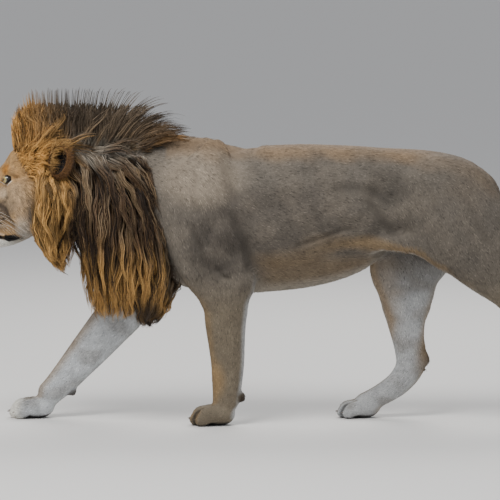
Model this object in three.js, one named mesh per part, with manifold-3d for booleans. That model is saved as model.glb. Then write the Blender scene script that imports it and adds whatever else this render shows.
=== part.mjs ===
// A life-size male lion, walking, as a still museum model: the flesh of the body parted by thin cuts,
// with the mane, tail, tail tuft, ears, eyes and claws as solids of their own.
// Units are millimetres. +Z is up, the lion faces -X, and its left side is towards -Y.
// The origin is at the middle of the animal's box, on the floor.
import * as THREE from "three";
import { mergeVertices } from "three/addons/utils/BufferGeometryUtils.js";
import Module from "manifold-3d";

const wasm = await Module();
wasm.setup();

// ---------------------------------------------------------------------------------------------
// Driving sizes
// ---------------------------------------------------------------------------------------------
const CUT = 0.6; // width of the thin cuts that part the flesh
const CLEARANCE = 1; // between a solid and what it is laid over
const EYE = { x: -1084, y: 62, z: 976, r: 20 };
const EAR = {
  x: -872, y: 146, z: 1054, depth: 40, width: 52, height: 64, wall: 8, hollow: 22, lean: 14, turn: 52,
};
const FORE_TRACK = 112; // sideways place of the forepaws, from the middle
const HIND_TRACK = 112; // and of the hind paws
const HEEL = { foreLeft: -178, foreRight: -912, hindLeft: 1216, hindRight: 402 }; // back of each paw, along x
const FOREPAW = { length: 178, width: 132, height: 84 };
const HINDPAW = { length: 166, width: 116, height: 76 };
const TOES = [-0.74, -0.27, 0.27, 0.74]; // places across half the paw's width
const CLAW = { length: 20, radius: 4.2, droop: 35 };
const MANE_LIFT = 14; // from the skin to the mane's inner wall
const SLIVER = 0.2; // edges and steps smaller than this are merged after a cut
const REACH = 2000; // longer than anything on the animal

// ---------------------------------------------------------------------------------------------
// Fields: each is negative inside a shape, zero on its surface and positive outside
// ---------------------------------------------------------------------------------------------
const clamp = (v, low, high) => Math.min(high, Math.max(low, v));
const mix = (a, b, t) => a + (b - a) * t;

// The distance from an ellipsoid, measured along the ray from its centre.
function rayDistance(k, length, least) {
  return k < 1e-6 ? -least : length * (1 - 1 / k);
}

// A limb or trunk. Each station is [x, y, z, depth, width]: a point of its middle line, half the depth
// seen from the side and half the width across. keel makes the lower side narrower than the upper.
function limb(stations, { keel = 0 } = {}) {
  const curve = new THREE.CatmullRomCurve3(stations.map((s) => new THREE.Vector3(...s)), false, "centripetal");
  const sizes = new THREE.SplineCurve(stations.map((s) => new THREE.Vector2(s[3], s[4])));
  const steps = (stations.length - 1) * 3;
  const rings = Array.from({ length: steps + 1 }, (_, i) => {
    const p = curve.getPoint(i / steps);
    const size = sizes.getPoint(i / steps);
    return { x: p.x, y: p.y, z: p.z, depth: size.x, width: size.y };
  });
  const box = new THREE.Box3();
  for (const ring of rings) {
    const reach = Math.max(ring.depth, ring.width);
    box.expandByPoint(new THREE.Vector3(ring.x, ring.y, ring.z).addScalar(reach));
    box.expandByPoint(new THREE.Vector3(ring.x, ring.y, ring.z).addScalar(-reach));
  }
  const field = (x, y, z) => {
    let nearest = Infinity;
    for (let i = 1; i < rings.length; i++) {
      const a = rings[i - 1];
      const b = rings[i];
      const dx = b.x - a.x;
      const dy = b.y - a.y;
      const dz = b.z - a.z;
      const along = (x - a.x) * dx + (y - a.y) * dy + (z - a.z) * dz;
      const t = clamp(along / (dx * dx + dy * dy + dz * dz), 0, 1);
      const qx = x - a.x - t * dx;
      const qy = y - a.y - t * dy;
      const qz = z - a.z - t * dz;
      const depth = mix(a.depth, b.depth, t);
      const width = mix(a.width, b.width, t) * (1 + keel * clamp(qz / depth, -1, 1));
      const inPlane = Math.hypot(qx, qz);
      const k = Math.hypot(inPlane / depth, qy / width);
      nearest = Math.min(nearest, rayDistance(k, Math.hypot(inPlane, qy), Math.min(depth, width)));
    }
    return nearest;
  };
  return { field, box };
}

// A muscle or a swelling: an ellipsoid with three half-axes, turned by pitch degrees in the side view.
function lump([cx, cy, cz], [ax, ay, az], pitch = 0) {
  const cos = Math.cos(THREE.MathUtils.degToRad(pitch));
  const sin = Math.sin(THREE.MathUtils.degToRad(pitch));
  const longest = Math.max(ax, az);
  const middle = new THREE.Vector3(cx, cy, cz);
  const reach = new THREE.Vector3(longest, ay, longest);
  const box = new THREE.Box3(middle.clone().sub(reach), middle.clone().add(reach));
  const field = (x, y, z) => {
    const u = cos * (x - cx) + sin * (z - cz);
    const v = cos * (z - cz) - sin * (x - cx);
    const w = y - cy;
    return rayDistance(Math.hypot(u / ax, w / ay, v / az), Math.hypot(u, v, w), Math.min(ax, ay, az));
  };
  return { field, box };
}

// The same shape on the other side of the body.
function mirrored(shape) {
  const { min, max } = shape.box;
  const box = new THREE.Box3(new THREE.Vector3(min.x, -max.y, min.z), new THREE.Vector3(max.x, -min.y, max.z));
  return { ...shape, box, field: (x, y, z) => shape.field(x, -y, z) };
}

const both = (...shapes) => shapes.flatMap((shape) => [shape, mirrored(shape)]);
const fillet = (k, ...shapes) => shapes.map((shape) => ({ ...shape, k }));
const hollowed = (shapes) => shapes.map((shape) => ({ ...shape, hollow: true }));

// Joins shapes into one field, each with its own fillet k. A hollow is taken away instead of joined.
function joined(shapes) {
  const near = shapes.map((s) => s.box.clone().expandByScalar((s.k ?? 0) + 60));
  const field = (x, y, z) => {
    let d = REACH;
    const p = new THREE.Vector3(x, y, z);
    shapes.forEach((s, i) => {
      if (!near[i].containsPoint(p)) return;
      const k = s.k || 1e-3;
      const e = s.hollow ? -s.field(x, y, z) : s.field(x, y, z);
      const h = clamp(0.5 + (0.5 * (s.hollow ? d - e : e - d)) / k, 0, 1);
      d = s.hollow ? mix(e, d, h) + k * h * (1 - h) : mix(e, d, h) - k * h * (1 - h);
    });
    return d;
  };
  const box = shapes.filter((s) => !s.hollow).reduce((all, s) => all.union(s.box), new THREE.Box3());
  return { field, box };
}

// ---------------------------------------------------------------------------------------------
// Anatomy
// ---------------------------------------------------------------------------------------------
const trunk = [
  ...fillet(40, limb([
    [-430, 0, 850, 235, 155], [-330, 0, 822, 285, 178], [-200, 0, 806, 292, 192], [-60, 0, 812, 294, 198],
    [80, 0, 826, 292, 196], [200, 0, 842, 272, 186], [290, 0, 872, 238, 168], [380, 0, 893, 210, 148],
    [490, 0, 910, 190, 138], [600, 0, 915, 176, 142], [690, 0, 908, 160, 140], [755, 0, 894, 128, 120],
  ], { keel: 0.12 })),
  ...fillet(60, limb([
    [-880, 0, 985, 150, 112], [-780, 0, 955, 172, 122], [-650, 0, 925, 196, 138], [-520, 0, 885, 226, 158],
    [-420, 0, 850, 240, 170],
  ])),
  ...fillet(70, lump([-505, 0, 700], [90, 105, 130])), // brisket
  ...fillet(35, limb([[-420, 0, 1085, 62, 46], [-320, 0, 1085, 60, 44], [-200, 0, 1062, 48, 42]])), // withers
  ...fillet(30, ...both(limb([ // loins
    [-60, 62, 1072, 36, 44], [250, 62, 1070, 36, 46], [560, 60, 1050, 36, 46],
  ]))),
  ...fillet(60, ...both(lump([630, 95, 975], [105, 62, 92]))), // hip bone and rump
  ...fillet(40, lump([782, 0, 940], [66, 60, 62])), // root of the tail
  ...fillet(26, lump([335, 0, 664], [54, 24, 22], 30)), // sheath
  ...fillet(24, ...both(lump([845, 26, 850], [30, 25, 44]))), // scrotum
];

// The near foreleg stands under the shoulder, and the far one reaches forward.
const foreLeft = [
  ...fillet(50, limb([ // shoulder blade down to the elbow
    [-262, -112, 1085, 62, 34], [-300, -148, 985, 108, 48], [-330, -164, 870, 132, 58],
    [-318, -166, 760, 140, 66], [-272, -160, 650, 136, 72], [-228, -150, 560, 112, 74],
  ])),
  ...fillet(30, limb([ // forearm
    [-222, -148, 560, 104, 72], [-216, -140, 490, 95, 72], [-217, -130, 410, 86, 66], [-213, -122, 330, 77, 59],
    [-209, -116, 250, 70, 53], [-211, -113, 175, 64, 50], [-214, -112, 110, 58, 50],
  ])),
  ...fillet(26, lump([-140, -152, 566], [44, 40, 56], -18)), // point of the elbow
  ...fillet(30, lump([-215, -168, 700], [62, 40, 130], -22)), // triceps
  ...fillet(16, lump([-150, -112, 112], [17, 20, 22])), // carpal pad
];
const foreRight = [
  ...fillet(50, limb([
    [-300, 112, 1080, 62, 34], [-370, 148, 980, 106, 48], [-450, 164, 870, 126, 58], [-530, 164, 760, 128, 66],
    [-580, 156, 660, 124, 74], [-598, 146, 560, 112, 74],
  ])),
  ...fillet(30, limb([
    [-590, 144, 540, 110, 72], [-626, 136, 446, 100, 70], [-690, 128, 368, 91, 64], [-753, 122, 294, 82, 58],
    [-815, 117, 222, 72, 53], [-874, 113, 154, 63, 50], [-925, 112, 104, 54, 50],
  ])),
  ...fillet(26, lump([-522, 146, 486], [46, 40, 56], 30)),
  ...fillet(16, lump([-838, 112, 106], [20, 20, 20])),
];

// The far hind leg stands under the belly, and the near one pushes off behind.
const hindRight = [
  ...fillet(60, limb([
    [690, 120, 870, 165, 70], [620, 128, 780, 178, 82], [545, 126, 690, 168, 84], [508, 122, 610, 150, 76],
    [512, 118, 540, 122, 66], [514, 116, 480, 97, 58],
  ])),
  ...fillet(30, limb([
    [510, 116, 480, 104, 58], [510, 114, 410, 86, 52], [518, 113, 330, 70, 46], [530, 112, 262, 66, 42],
    [529, 112, 212, 62, 42], [486, 112, 146, 54, 42], [412, 112, 94, 47, 44], [350, 112, 62, 44, 46],
  ])),
  ...fillet(16, lump([586, 112, 232], [26, 26, 40], 12)), // heel
];
const hindLeft = [
  ...fillet(60, limb([
    [680, -120, 870, 190, 72], [735, -130, 790, 186, 84], [800, -132, 715, 170, 84], [868, -126, 640, 146, 76],
    [930, -120, 572, 116, 64],
  ])),
  ...fillet(30, limb([
    [930, -120, 572, 114, 62], [1000, -116, 478, 90, 54], [1062, -113, 380, 70, 46], [1106, -112, 300, 64, 42],
    [1136, -112, 226, 56, 40], [1160, -112, 150, 48, 42], [1172, -112, 88, 45, 46],
  ])),
  ...fillet(16, lump([1148, -112, 332], [26, 26, 42], 30)), // heel
];

// A paw flat on the floor: its ball and four toes that point forward, the outer two set back.
function toeTip(heel, y, place, { length, width, height }) {
  const back = Math.abs(place) > 0.5 ? 0.13 * length : 0;
  return new THREE.Vector3(heel - 0.88 * length + back, y + place * width * 0.5, height * 0.27);
}
function paw(heel, y, size) {
  const { length, width, height } = size;
  const toes = TOES.map((place) => {
    const tip = toeTip(heel, y, place, size);
    return limb([
      [heel - 0.5 * length, y + place * width * 0.38, height * 0.56, height * 0.42, width * 0.17],
      [tip.x + 0.12 * length, tip.y, height * 0.5, height * 0.42, width * 0.165],
      [tip.x, tip.y, tip.z, height * 0.33, width * 0.15],
    ]);
  });
  return [
    ...fillet(30, lump([heel - 0.4 * length, y, height * 0.47], [length * 0.4, width * 0.46, height * 0.53])),
    ...fillet(10, ...toes),
  ];
}
const paws = [
  ...paw(HEEL.foreLeft, -FORE_TRACK, FOREPAW),
  ...paw(HEEL.foreRight, FORE_TRACK, FOREPAW),
  ...paw(HEEL.hindLeft, -HIND_TRACK, HINDPAW),
  ...paw(HEEL.hindRight, HIND_TRACK, HINDPAW),
];

const head = [
  ...fillet(30, lump([-935, 0, 1025], [138, 104, 108], 10)), // braincase
  ...fillet(40, limb([ // forehead and bridge of the nose
    [-1010, 0, 1045, 74, 78], [-1065, 0, 1010, 50, 58], [-1130, 0, 946, 44, 50], [-1198, 0, 886, 36, 44],
  ])),
  ...fillet(40, ...both(limb([ // cheekbones
    [-1050, 82, 935, 38, 34], [-990, 108, 930, 52, 38], [-930, 108, 925, 64, 44],
  ]))),
  ...fillet(40, ...both(lump([-985, 78, 850], [100, 56, 98], 20))), // jaw muscles
  ...fillet(36, limb([[-1050, 0, 852, 98, 96], [-1130, 0, 842, 88, 84], [-1176, 0, 836, 68, 68]])), // muzzle
  ...fillet(22, ...both(lump([-1178, 38, 806], [50, 42, 48], -8))), // whisker pads
  ...fillet(12, lump([-1222, 0, 874], [22, 42, 26], -35)), // nose
  ...fillet(30, limb([[-985, 0, 788, 68, 96], [-1080, 0, 748, 50, 72], [-1160, 0, 728, 38, 52]])), // lower jaw
  ...fillet(20, lump([-1178, 0, 730], [36, 50, 38])), // chin
  ...fillet(18, ...both(lump([-1066, 58, 1008], [32, 26, 20], -25))), // brows
  ...hollowed(fillet(14, ...both(lump([EYE.x - 24, EYE.y + 14, EYE.z - 1], [22, 16, 17])))), // eye corner
  ...fillet(8, ...both(lump([EYE.x + 4, EYE.y - 3, EYE.z], [EYE.r + 3, EYE.r + 3, EYE.r + 3]))),
];

const body = joined([...trunk, ...hindRight, ...hindLeft, ...foreRight, ...foreLeft, ...paws, ...head]);

const tail = joined([
  ...fillet(20, limb([
    [786, 0, 958, 44, 40], [836, 0, 922, 38, 34], [868, 6, 862, 32, 30], [896, 14, 780, 28, 26],
    [926, 20, 690, 25, 23], [962, 26, 592, 22, 21],
    [1004, 30, 494, 19, 19], [1052, 33, 410, 17, 17], [1100, 35, 352, 16, 16],
    [1146, 36, 318, 15, 15],
  ])),
]);
const tuft = joined([
  ...fillet(20, limb([
    [1108, 35, 346, 20, 20], [1136, 36, 324, 36, 34], [1168, 37, 302, 44, 40], [1202, 38, 284, 32, 28],
    [1228, 38, 272, 9, 9],
  ])),
]);

const mane = joined([
  // the crest that stands up from the forehead to the withers
  ...fillet(30, limb([
    [-1062, 0, 1180, 40, 40], [-1010, 0, 1200, 82, 66], [-940, 0, 1210, 108, 80], [-850, 0, 1205, 120, 84],
    [-740, 0, 1198, 116, 80], [-640, 0, 1200, 112, 74], [-560, 0, 1196, 98, 64], [-490, 0, 1176, 72, 56],
    [-430, 0, 1162, 52, 50], [-372, 0, 1156, 36, 40],
  ])),
  // the ruff round the face
  ...fillet(50, limb([
    [-876, 0, 1110, 96, 118], [-880, 0, 1030, 106, 160], [-886, 0, 940, 112, 214], [-888, 0, 860, 112, 234],
    [-892, 0, 780, 106, 200], [-890, 0, 710, 90, 148], [-884, 0, 660, 46, 84],
  ])),
  // the long hair of the neck and chest
  ...fillet(60, limb([
    [-690, 0, 1090, 156, 160], [-668, 0, 980, 188, 212], [-636, 0, 860, 212, 242], [-606, 0, 710, 222, 240],
    [-590, 0, 600, 206, 222], [-592, 0, 510, 178, 172],
  ])),
  ...hollowed(fillet(50, lump([-600, 0, -900], [1500, 1500, 1325]))), // the locks end at one level
  ...fillet(24, lump([-520, 95, 432], [52, 40, 50])), // tuft at the far elbow
]);

// ---------------------------------------------------------------------------------------------
// Solids: a field is turned into a closed mesh of quads, one point for each cell that it crosses
// ---------------------------------------------------------------------------------------------
function surface({ field, box }, cell) {
  const low = box.min.clone().subScalar(cell * 1.5);
  const count = box.getSize(new THREE.Vector3()).addScalar(cell * 3).divideScalar(cell).ceil().addScalar(1);
  const [nx, ny, nz] = count.toArray();
  const at = (i, j, k) => i + nx * (j + ny * k);
  const values = new Float32Array(nx * ny * nz);
  for (let k = 0; k < nz; k++)
    for (let j = 0; j < ny; j++)
      for (let i = 0; i < nx; i++)
        values[at(i, j, k)] = i * j * k === 0 || i === nx - 1 || j === ny - 1 || k === nz - 1
          ? cell : field(low.x + i * cell, low.y + j * cell, low.z + k * cell);

  const vertexOf = new Map();
  const points = [];
  const corners = [0, 1].flatMap((k) => [0, 1].flatMap((j) => [0, 1].map((i) => [i, j, k])));
  const edges = corners.flatMap((a, m) => corners.slice(m + 1).map((b) => [a, b]))
    .filter(([a, b]) => Math.abs(a[0] - b[0]) + Math.abs(a[1] - b[1]) + Math.abs(a[2] - b[2]) === 1);
  for (let k = 0; k < nz - 1; k++)
    for (let j = 0; j < ny - 1; j++)
      for (let i = 0; i < nx - 1; i++) {
        const sum = new THREE.Vector3();
        let crossed = 0;
        for (const [a, b] of edges) {
          const va = values[at(i + a[0], j + a[1], k + a[2])];
          const vb = values[at(i + b[0], j + b[1], k + b[2])];
          if (va < 0 === vb < 0) continue;
          const t = va / (va - vb);
          sum.x += i + mix(a[0], b[0], t);
          sum.y += j + mix(a[1], b[1], t);
          sum.z += k + mix(a[2], b[2], t);
          crossed++;
        }
        if (!crossed) continue;
        vertexOf.set(at(i, j, k), points.length);
        points.push(settled(field, sum.divideScalar(crossed).multiplyScalar(cell).add(low), cell));
      }

  const faces = [];
  const steps = [[1, 0, 0], [0, 1, 0], [0, 0, 1]];
  for (let k = 0; k < nz - 1; k++)
    for (let j = 0; j < ny - 1; j++)
      for (let i = 0; i < nx - 1; i++)
        steps.forEach(([sx, sy, sz], axis) => {
          const inside = values[at(i, j, k)] < 0;
          if (inside === values[at(i + sx, j + sy, k + sz)] < 0) return;
          const [u, v] = [steps[(axis + 1) % 3], steps[(axis + 2) % 3]];
          const quad = [[0, 0], [1, 0], [1, 1], [0, 1]].map(([m, n]) =>
            vertexOf.get(at(i - m * u[0] - n * v[0], j - m * u[1] - n * v[1], k - m * u[2] - n * v[2])));
          if (!inside) quad.reverse();
          const [a, b, c, d] = quad.map((index) => points[index]);
          const cutAcross = a.distanceToSquared(c) <= b.distanceToSquared(d);
          const [p, q, r, s] = cutAcross ? quad : [quad[1], quad[2], quad[3], quad[0]];
          faces.push(p, q, r, p, r, s);
        });
  return solid(new Float32Array(points.flatMap((p) => p.toArray())), new Uint32Array(faces));
}

// Moves a point onto the zero of a field, by a few steps along its slope.
function settled(field, start, cell) {
  const p = start.clone();
  const e = 0.5;
  if (Math.abs(field(p.x, p.y, p.z)) > cell) return start;
  for (let step = 0; step < 5; step++) {
    const slope = new THREE.Vector3(
      field(p.x + e, p.y, p.z) - field(p.x - e, p.y, p.z),
      field(p.x, p.y + e, p.z) - field(p.x, p.y - e, p.z),
      field(p.x, p.y, p.z + e) - field(p.x, p.y, p.z - e),
    ).divideScalar(2 * e);
    const steepness = Math.max(slope.lengthSq(), 0.2);
    p.addScaledVector(slope, clamp(-field(p.x, p.y, p.z) / steepness, -cell / 3, cell / 3));
  }
  return p.distanceTo(start) < cell ? p : start;
}

function solid(vertProperties, triVerts) {
  return new wasm.Manifold(new wasm.Mesh({ numProp: 3, vertProperties, triVerts }));
}

function solidOf(geometry) {
  const bare = geometry.clone().deleteAttribute("normal").deleteAttribute("uv");
  const merged = mergeVertices(bare, 1e-3);
  return solid(new Float32Array(merged.attributes.position.array), new Uint32Array(merged.index.array));
}

function geometryOf(made) {
  const { vertProperties, triVerts } = made.getMesh();
  return new THREE.BufferGeometry()
    .setAttribute("position", new THREE.BufferAttribute(new Float32Array(vertProperties), 3))
    .setIndex(new THREE.BufferAttribute(new Uint32Array(triVerts), 1));
}

// The same solid with every vertex moved out along its normal.
function swollen(made, by) {
  const geometry = geometryOf(made);
  geometry.computeVertexNormals();
  const { position, normal } = geometry.attributes;
  const points = position.array.map((value, i) => value + by * normal.array[i]);
  return solid(points, geometry.index.array);
}

const largest = (made) => made.decompose().sort((a, b) => b.volume() - a.volume())[0];

// The main body of a cut solid, without the slivers that cutting leaves.
const tidied = (made) => largest(largest(made).simplify(SLIVER));

// A convex outline [x, z] in the side view, drawn through the body from one y to another.
// grow moves all its faces out, which leaves the thin cuts.
function region(outline, [yLow, yHigh], grow = 0) {
  const corners = outline.map(([x, z]) => new THREE.Vector2(x, z));
  if (THREE.ShapeUtils.area(corners) < 0) corners.reverse();
  const moved = corners.map((p, i) => {
    const last = corners[(i + corners.length - 1) % corners.length];
    const next = corners[(i + 1) % corners.length];
    const outA = new THREE.Vector2(p.y - last.y, last.x - p.x).normalize();
    const outB = new THREE.Vector2(next.y - p.y, p.x - next.x).normalize();
    const out = outA.clone().add(outB);
    return p.clone().addScaledVector(out, grow / (1 + outA.dot(outB)));
  });
  const depth = yHigh - yLow + 2 * grow;
  const geometry = new THREE.ExtrudeGeometry(new THREE.Shape(moved), { depth, bevelEnabled: false });
  geometry.rotateX(Math.PI / 2).translate(0, yHigh + grow, 0);
  return solidOf(geometry);
}

// The outline of a stretch of leg, from one joint [x, z] to the next.
function stretch([x0, z0], [x1, z1], half) {
  const along = new THREE.Vector2(x1 - x0, z1 - z0).normalize();
  const [ox, oz] = [-along.y * half, along.x * half];
  return [[x0 + ox, z0 + oz], [x1 + ox, z1 + oz], [x1 - ox, z1 - oz], [x0 - ox, z0 - oz]];
}

// ---------------------------------------------------------------------------------------------
// Where the body is parted: earlier regions are cut out of the later ones. cell is the size of a
// facet before they are merged, and off is how far merging them may move the surface.
// ---------------------------------------------------------------------------------------------
const ACROSS = [-REACH, REACH];
const leftOf = (y) => [-REACH, -y];
const rightOf = (y) => [y, REACH];
const regions = [
  { name: "lower_jaw", cell: 24, off: 2, y: ACROSS,
    outline: [[-1400, 796], [-1048, 745], [-1010, 620], [-1400, 620]] },
  { name: "forepaw_left", cell: 27, off: 3, y: leftOf(8),
    outline: [[-460, 0], [-60, 0], [-60, 122], [-460, 122]] },
  { name: "forepaw_right", cell: 27, off: 3, y: rightOf(8),
    outline: [[-1300, 0], [-790, 0], [-790, 66], [-985, 236], [-1300, 236]] },
  { name: "hind_foot_left", cell: 27, off: 3, y: leftOf(8),
    outline: [[930, 0], [1400, 0], [1400, 440], [930, 214]] },
  { name: "hind_foot_right", cell: 27, off: 3, y: rightOf(8),
    outline: [[200, 0], [740, 0], [740, 134], [330, 308]] },
  { name: "forearm_left", cell: 42, off: 5, y: leftOf(24),
    outline: [[-460, 120], [-40, 120], [-40, 508], [-460, 508]] },
  { name: "forearm_right", cell: 42, off: 5, y: rightOf(24), outline: stretch([-880, 146], [-590, 476], 170) },
  { name: "shank_left", cell: 42, off: 5, y: leftOf(34), outline: stretch([930, 570], [1104, 298], 190) },
  { name: "shank_right", cell: 42, off: 5, y: rightOf(34), outline: stretch([488, 560], [532, 222], 200) },
  { name: "shoulder_left", cell: 60, off: 6, y: leftOf(92),
    outline: [[-300, 1170], [-180, 1120], [-90, 700], [-60, 508], [-380, 508], [-500, 720], [-470, 900],
      [-390, 1090]] },
  { name: "shoulder_right", cell: 60, off: 6, y: rightOf(92),
    outline: [[-330, 1170], [-240, 1120], [-300, 800], [-430, 420], [-620, 420], [-740, 560], [-660, 800],
      [-460, 1090]] },
  { name: "thigh_left", cell: 60, off: 6, y: leftOf(34),
    outline: [[520, 700], [530, 960], [640, 1030], [830, 1010], [960, 860], [1080, 560], [930, 440],
      [700, 520]] },
  { name: "thigh_right", cell: 60, off: 6, y: rightOf(34),
    outline: [[400, 640], [470, 900], [600, 1010], [760, 1020], [900, 860], [860, 640], [760, 440],
      [330, 460]] },
  { name: "head", cell: 26, off: 3, y: ACROSS,
    outline: [[-1500, 600], [-915, 600], [-825, 1260], [-1500, 1260]] },
  { name: "neck", cell: 60, off: 7, y: ACROSS,
    outline: [[-1000, 400], [-600, 400], [-440, 1300], [-880, 1300]] },
  { name: "trunk", cell: 78, off: 7, y: ACROSS,
    outline: [[-900, 400], [1000, 400], [1000, 1400], [-900, 1400]] },
];

const nodes = new Map();
const taken = [];
for (const { name, cell, off, y, outline } of regions) {
  const piece = region(outline, y);
  const { min, max } = piece.boundingBox();
  const box = new THREE.Box3(new THREE.Vector3(...min), new THREE.Vector3(...max)).expandByScalar(2 * cell);
  box.intersect(body.box.clone().expandByScalar(cell));
  const grown = surface({ field: body.field, box }, cell).simplify(off).intersect(piece);
  nodes.set(name, tidied(taken.reduce((left, other) => left.subtract(other), grown)));
  taken.push(region(outline, y, CUT));
}
const fleshNodes = [...nodes.keys()];

// ---------------------------------------------------------------------------------------------
// Eyes, ears, tail and claws
// ---------------------------------------------------------------------------------------------
const SIDES = [["left", -1], ["right", 1]];

// Takes other solids, each moved out by the clearance, away from a solid that is laid over them.
function laidOver(made, under) {
  return under.reduce((left, inner) => left.subtract(swollen(inner, CLEARANCE)), made);
}

// The surface of the body, moved out by a gap, inside a box.
function bodySurface(box, gap, cell, off) {
  const field = (x, y, z) => body.field(x, y, z) - gap;
  return surface({ field, box: box.clone().expandByScalar(2 * cell) }, cell).simplify(off);
}

function eyeball(sign, grow = 0) {
  return solidOf(new THREE.SphereGeometry(EYE.r + grow, 10, 6).translate(EYE.x, sign * EYE.y, EYE.z));
}
for (const [side, sign] of SIDES) {
  nodes.set(`eye_${side}`, eyeball(sign));
  nodes.set("head", tidied(nodes.get("head").subtract(eyeball(sign, CUT))));
}

// A round ear is a deep cup on the side of the head, open forwards and outwards. forward is how far the
// hollow lies in front of the wall, and grow makes the whole ear larger.
function earShell(sign, { forward = 0, grow = -EAR.wall } = {}) {
  const shell = new THREE.SphereGeometry(1, 12, 7).rotateX(Math.PI / 2);
  shell.scale(EAR.depth + grow, EAR.width + grow, EAR.height + grow).translate(-forward, 0, 0);
  shell.rotateY(THREE.MathUtils.degToRad(EAR.lean)).rotateZ(-sign * THREE.MathUtils.degToRad(EAR.turn));
  return solidOf(shell.translate(EAR.x, sign * EAR.y, EAR.z));
}
for (const [side, sign] of SIDES) {
  const cup = earShell(sign, { grow: 0 }).subtract(earShell(sign, { forward: EAR.hollow }));
  const middle = new THREE.Vector3(EAR.x, sign * EAR.y, EAR.z);
  const box = new THREE.Box3().setFromCenterAndSize(middle, new THREE.Vector3().setScalar(2.5 * EAR.height));
  nodes.set(`ear_${side}`, tidied(cup.subtract(bodySurface(box, 4, 32, 1))));
}

const tuftOutline = [[1118, 200], [1300, 200], [1300, 500], [1180, 500]];
const bareTail = surface(tail, 15).simplify(5).subtract(bodySurface(tail.box, 5, 30, 1));
nodes.set("tail", tidied(bareTail.subtract(region(tuftOutline, ACROSS, CUT))));
nodes.set("tail_tuft", tidied(surface(tuft, 22).simplify(4).intersect(region(tuftOutline, ACROSS))));

// A claw's tip, just out of its sheath at the front of each toe.
const clawed = [
  { name: "forepaw_left", heel: HEEL.foreLeft, y: -FORE_TRACK, size: FOREPAW },
  { name: "forepaw_right", heel: HEEL.foreRight, y: FORE_TRACK, size: FOREPAW },
  { name: "hind_foot_left", heel: HEEL.hindLeft, y: -HIND_TRACK, size: HINDPAW },
  { name: "hind_foot_right", heel: HEEL.hindRight, y: HIND_TRACK, size: HINDPAW },
];
for (const { name, heel, y, size } of clawed)
  TOES.forEach((place, i) => {
    const tip = toeTip(heel, y, place, size);
    const claw = new THREE.ConeGeometry(CLAW.radius, CLAW.length, 7, 1);
    claw.rotateZ(Math.PI / 2 + THREE.MathUtils.degToRad(CLAW.droop));
    claw.translate(tip.x - size.height * 0.32, tip.y, tip.z + size.height * 0.06);
    nodes.set(`claw_${name}_${i + 1}`, largest(laidOver(solidOf(claw), [nodes.get(name)])));
  });

// ---------------------------------------------------------------------------------------------
// The mane, parted into the crest along the top of the neck and the hair of each side
// ---------------------------------------------------------------------------------------------
const lifted = surface(mane, 54).simplify(9).subtract(bodySurface(mane.box, MANE_LIFT, 58, 4));
const touched = fleshNodes.map((name) => nodes.get(name)).filter((made) => !made.intersect(lifted).isEmpty());
const wholeMane = SIDES.reduce(
  (left, [, sign]) => left.subtract(earShell(sign, { grow: CLEARANCE })),
  laidOver(lifted, touched),
);
const crestOutline = [[-1300, 1108], [-1040, 1136], [-300, 1136], [-300, 1500], [-1300, 1500]];
const everySide = [[-REACH, -REACH], [REACH, -REACH], [REACH, REACH], [-REACH, REACH]];
const belowCrest = wholeMane.subtract(region(crestOutline, ACROSS, CUT));
nodes.set("mane_crest", tidied(wholeMane.intersect(region(crestOutline, ACROSS))));
nodes.set("mane_left", tidied(belowCrest.intersect(region(everySide, leftOf(CUT / 2)))));
nodes.set("mane_right", tidied(belowCrest.intersect(region(everySide, rightOf(CUT / 2)))));

// ---------------------------------------------------------------------------------------------
// The finished group
// ---------------------------------------------------------------------------------------------
const finish = (color, roughness) => new THREE.MeshStandardMaterial({ color, roughness, metalness: 0 });
const coat = finish(0x8f7b5f, 0.9);
const legCoat = finish(0xa8957a, 0.9);
const faceCoat = finish(0x9d7f55, 0.9);
const whiteCoat = finish(0xcfc8bb, 0.9);
const maneHair = finish(0x4a3522, 0.8);
const crestHair = finish(0x6b4d2a, 0.8);
const darkHair = finish(0x1f1812, 0.8);
const eyeGloss = finish(0xa9a169, 0.1);
const claw = finish(0x3a332c, 0.4);
const finishes = {
  lower_jaw: whiteCoat, head: faceCoat, ear_left: faceCoat, ear_right: faceCoat,
  eye_left: eyeGloss, eye_right: eyeGloss, forearm_right: legCoat, shank_right: legCoat,
  mane_left: maneHair, mane_right: maneHair, mane_crest: crestHair, tail_tuft: darkHair,
};

const lion = new THREE.Group();
for (const [name, made] of nodes) {
  const mesh = new THREE.Mesh(geometryOf(made), finishes[name] ?? (name.startsWith("claw") ? claw : coat));
  mesh.name = name;
  lion.add(mesh);
}

// The origin goes to the middle of the whole animal's box, on the floor.
const whole = new THREE.Box3().setFromObject(lion);
const middle = whole.getCenter(new THREE.Vector3()).setZ(whole.min.z);
for (const mesh of lion.children) mesh.position.copy(middle).negate();

export default lion;
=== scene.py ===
# %% [markdown]
# # A walking lion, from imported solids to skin, coat and mane
# The solids of the model give the sizes. This lesson covers them with one skin, a short coat of small
# tufts, a mane of combed locks, and the small pieces that make a face: eyes, lids, ears and whiskers.
# The solids could be shown as they are, but they are parted by cuts and have flat facets. A skin that is
# grown over all of them at once has no seam, so that is what the flesh is replaced by.

# %% Load the frame
import math
import bmesh
import bpy
import numpy as np
from mathutils import Matrix, Vector
from mathutils.kdtree import KDTree


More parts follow.
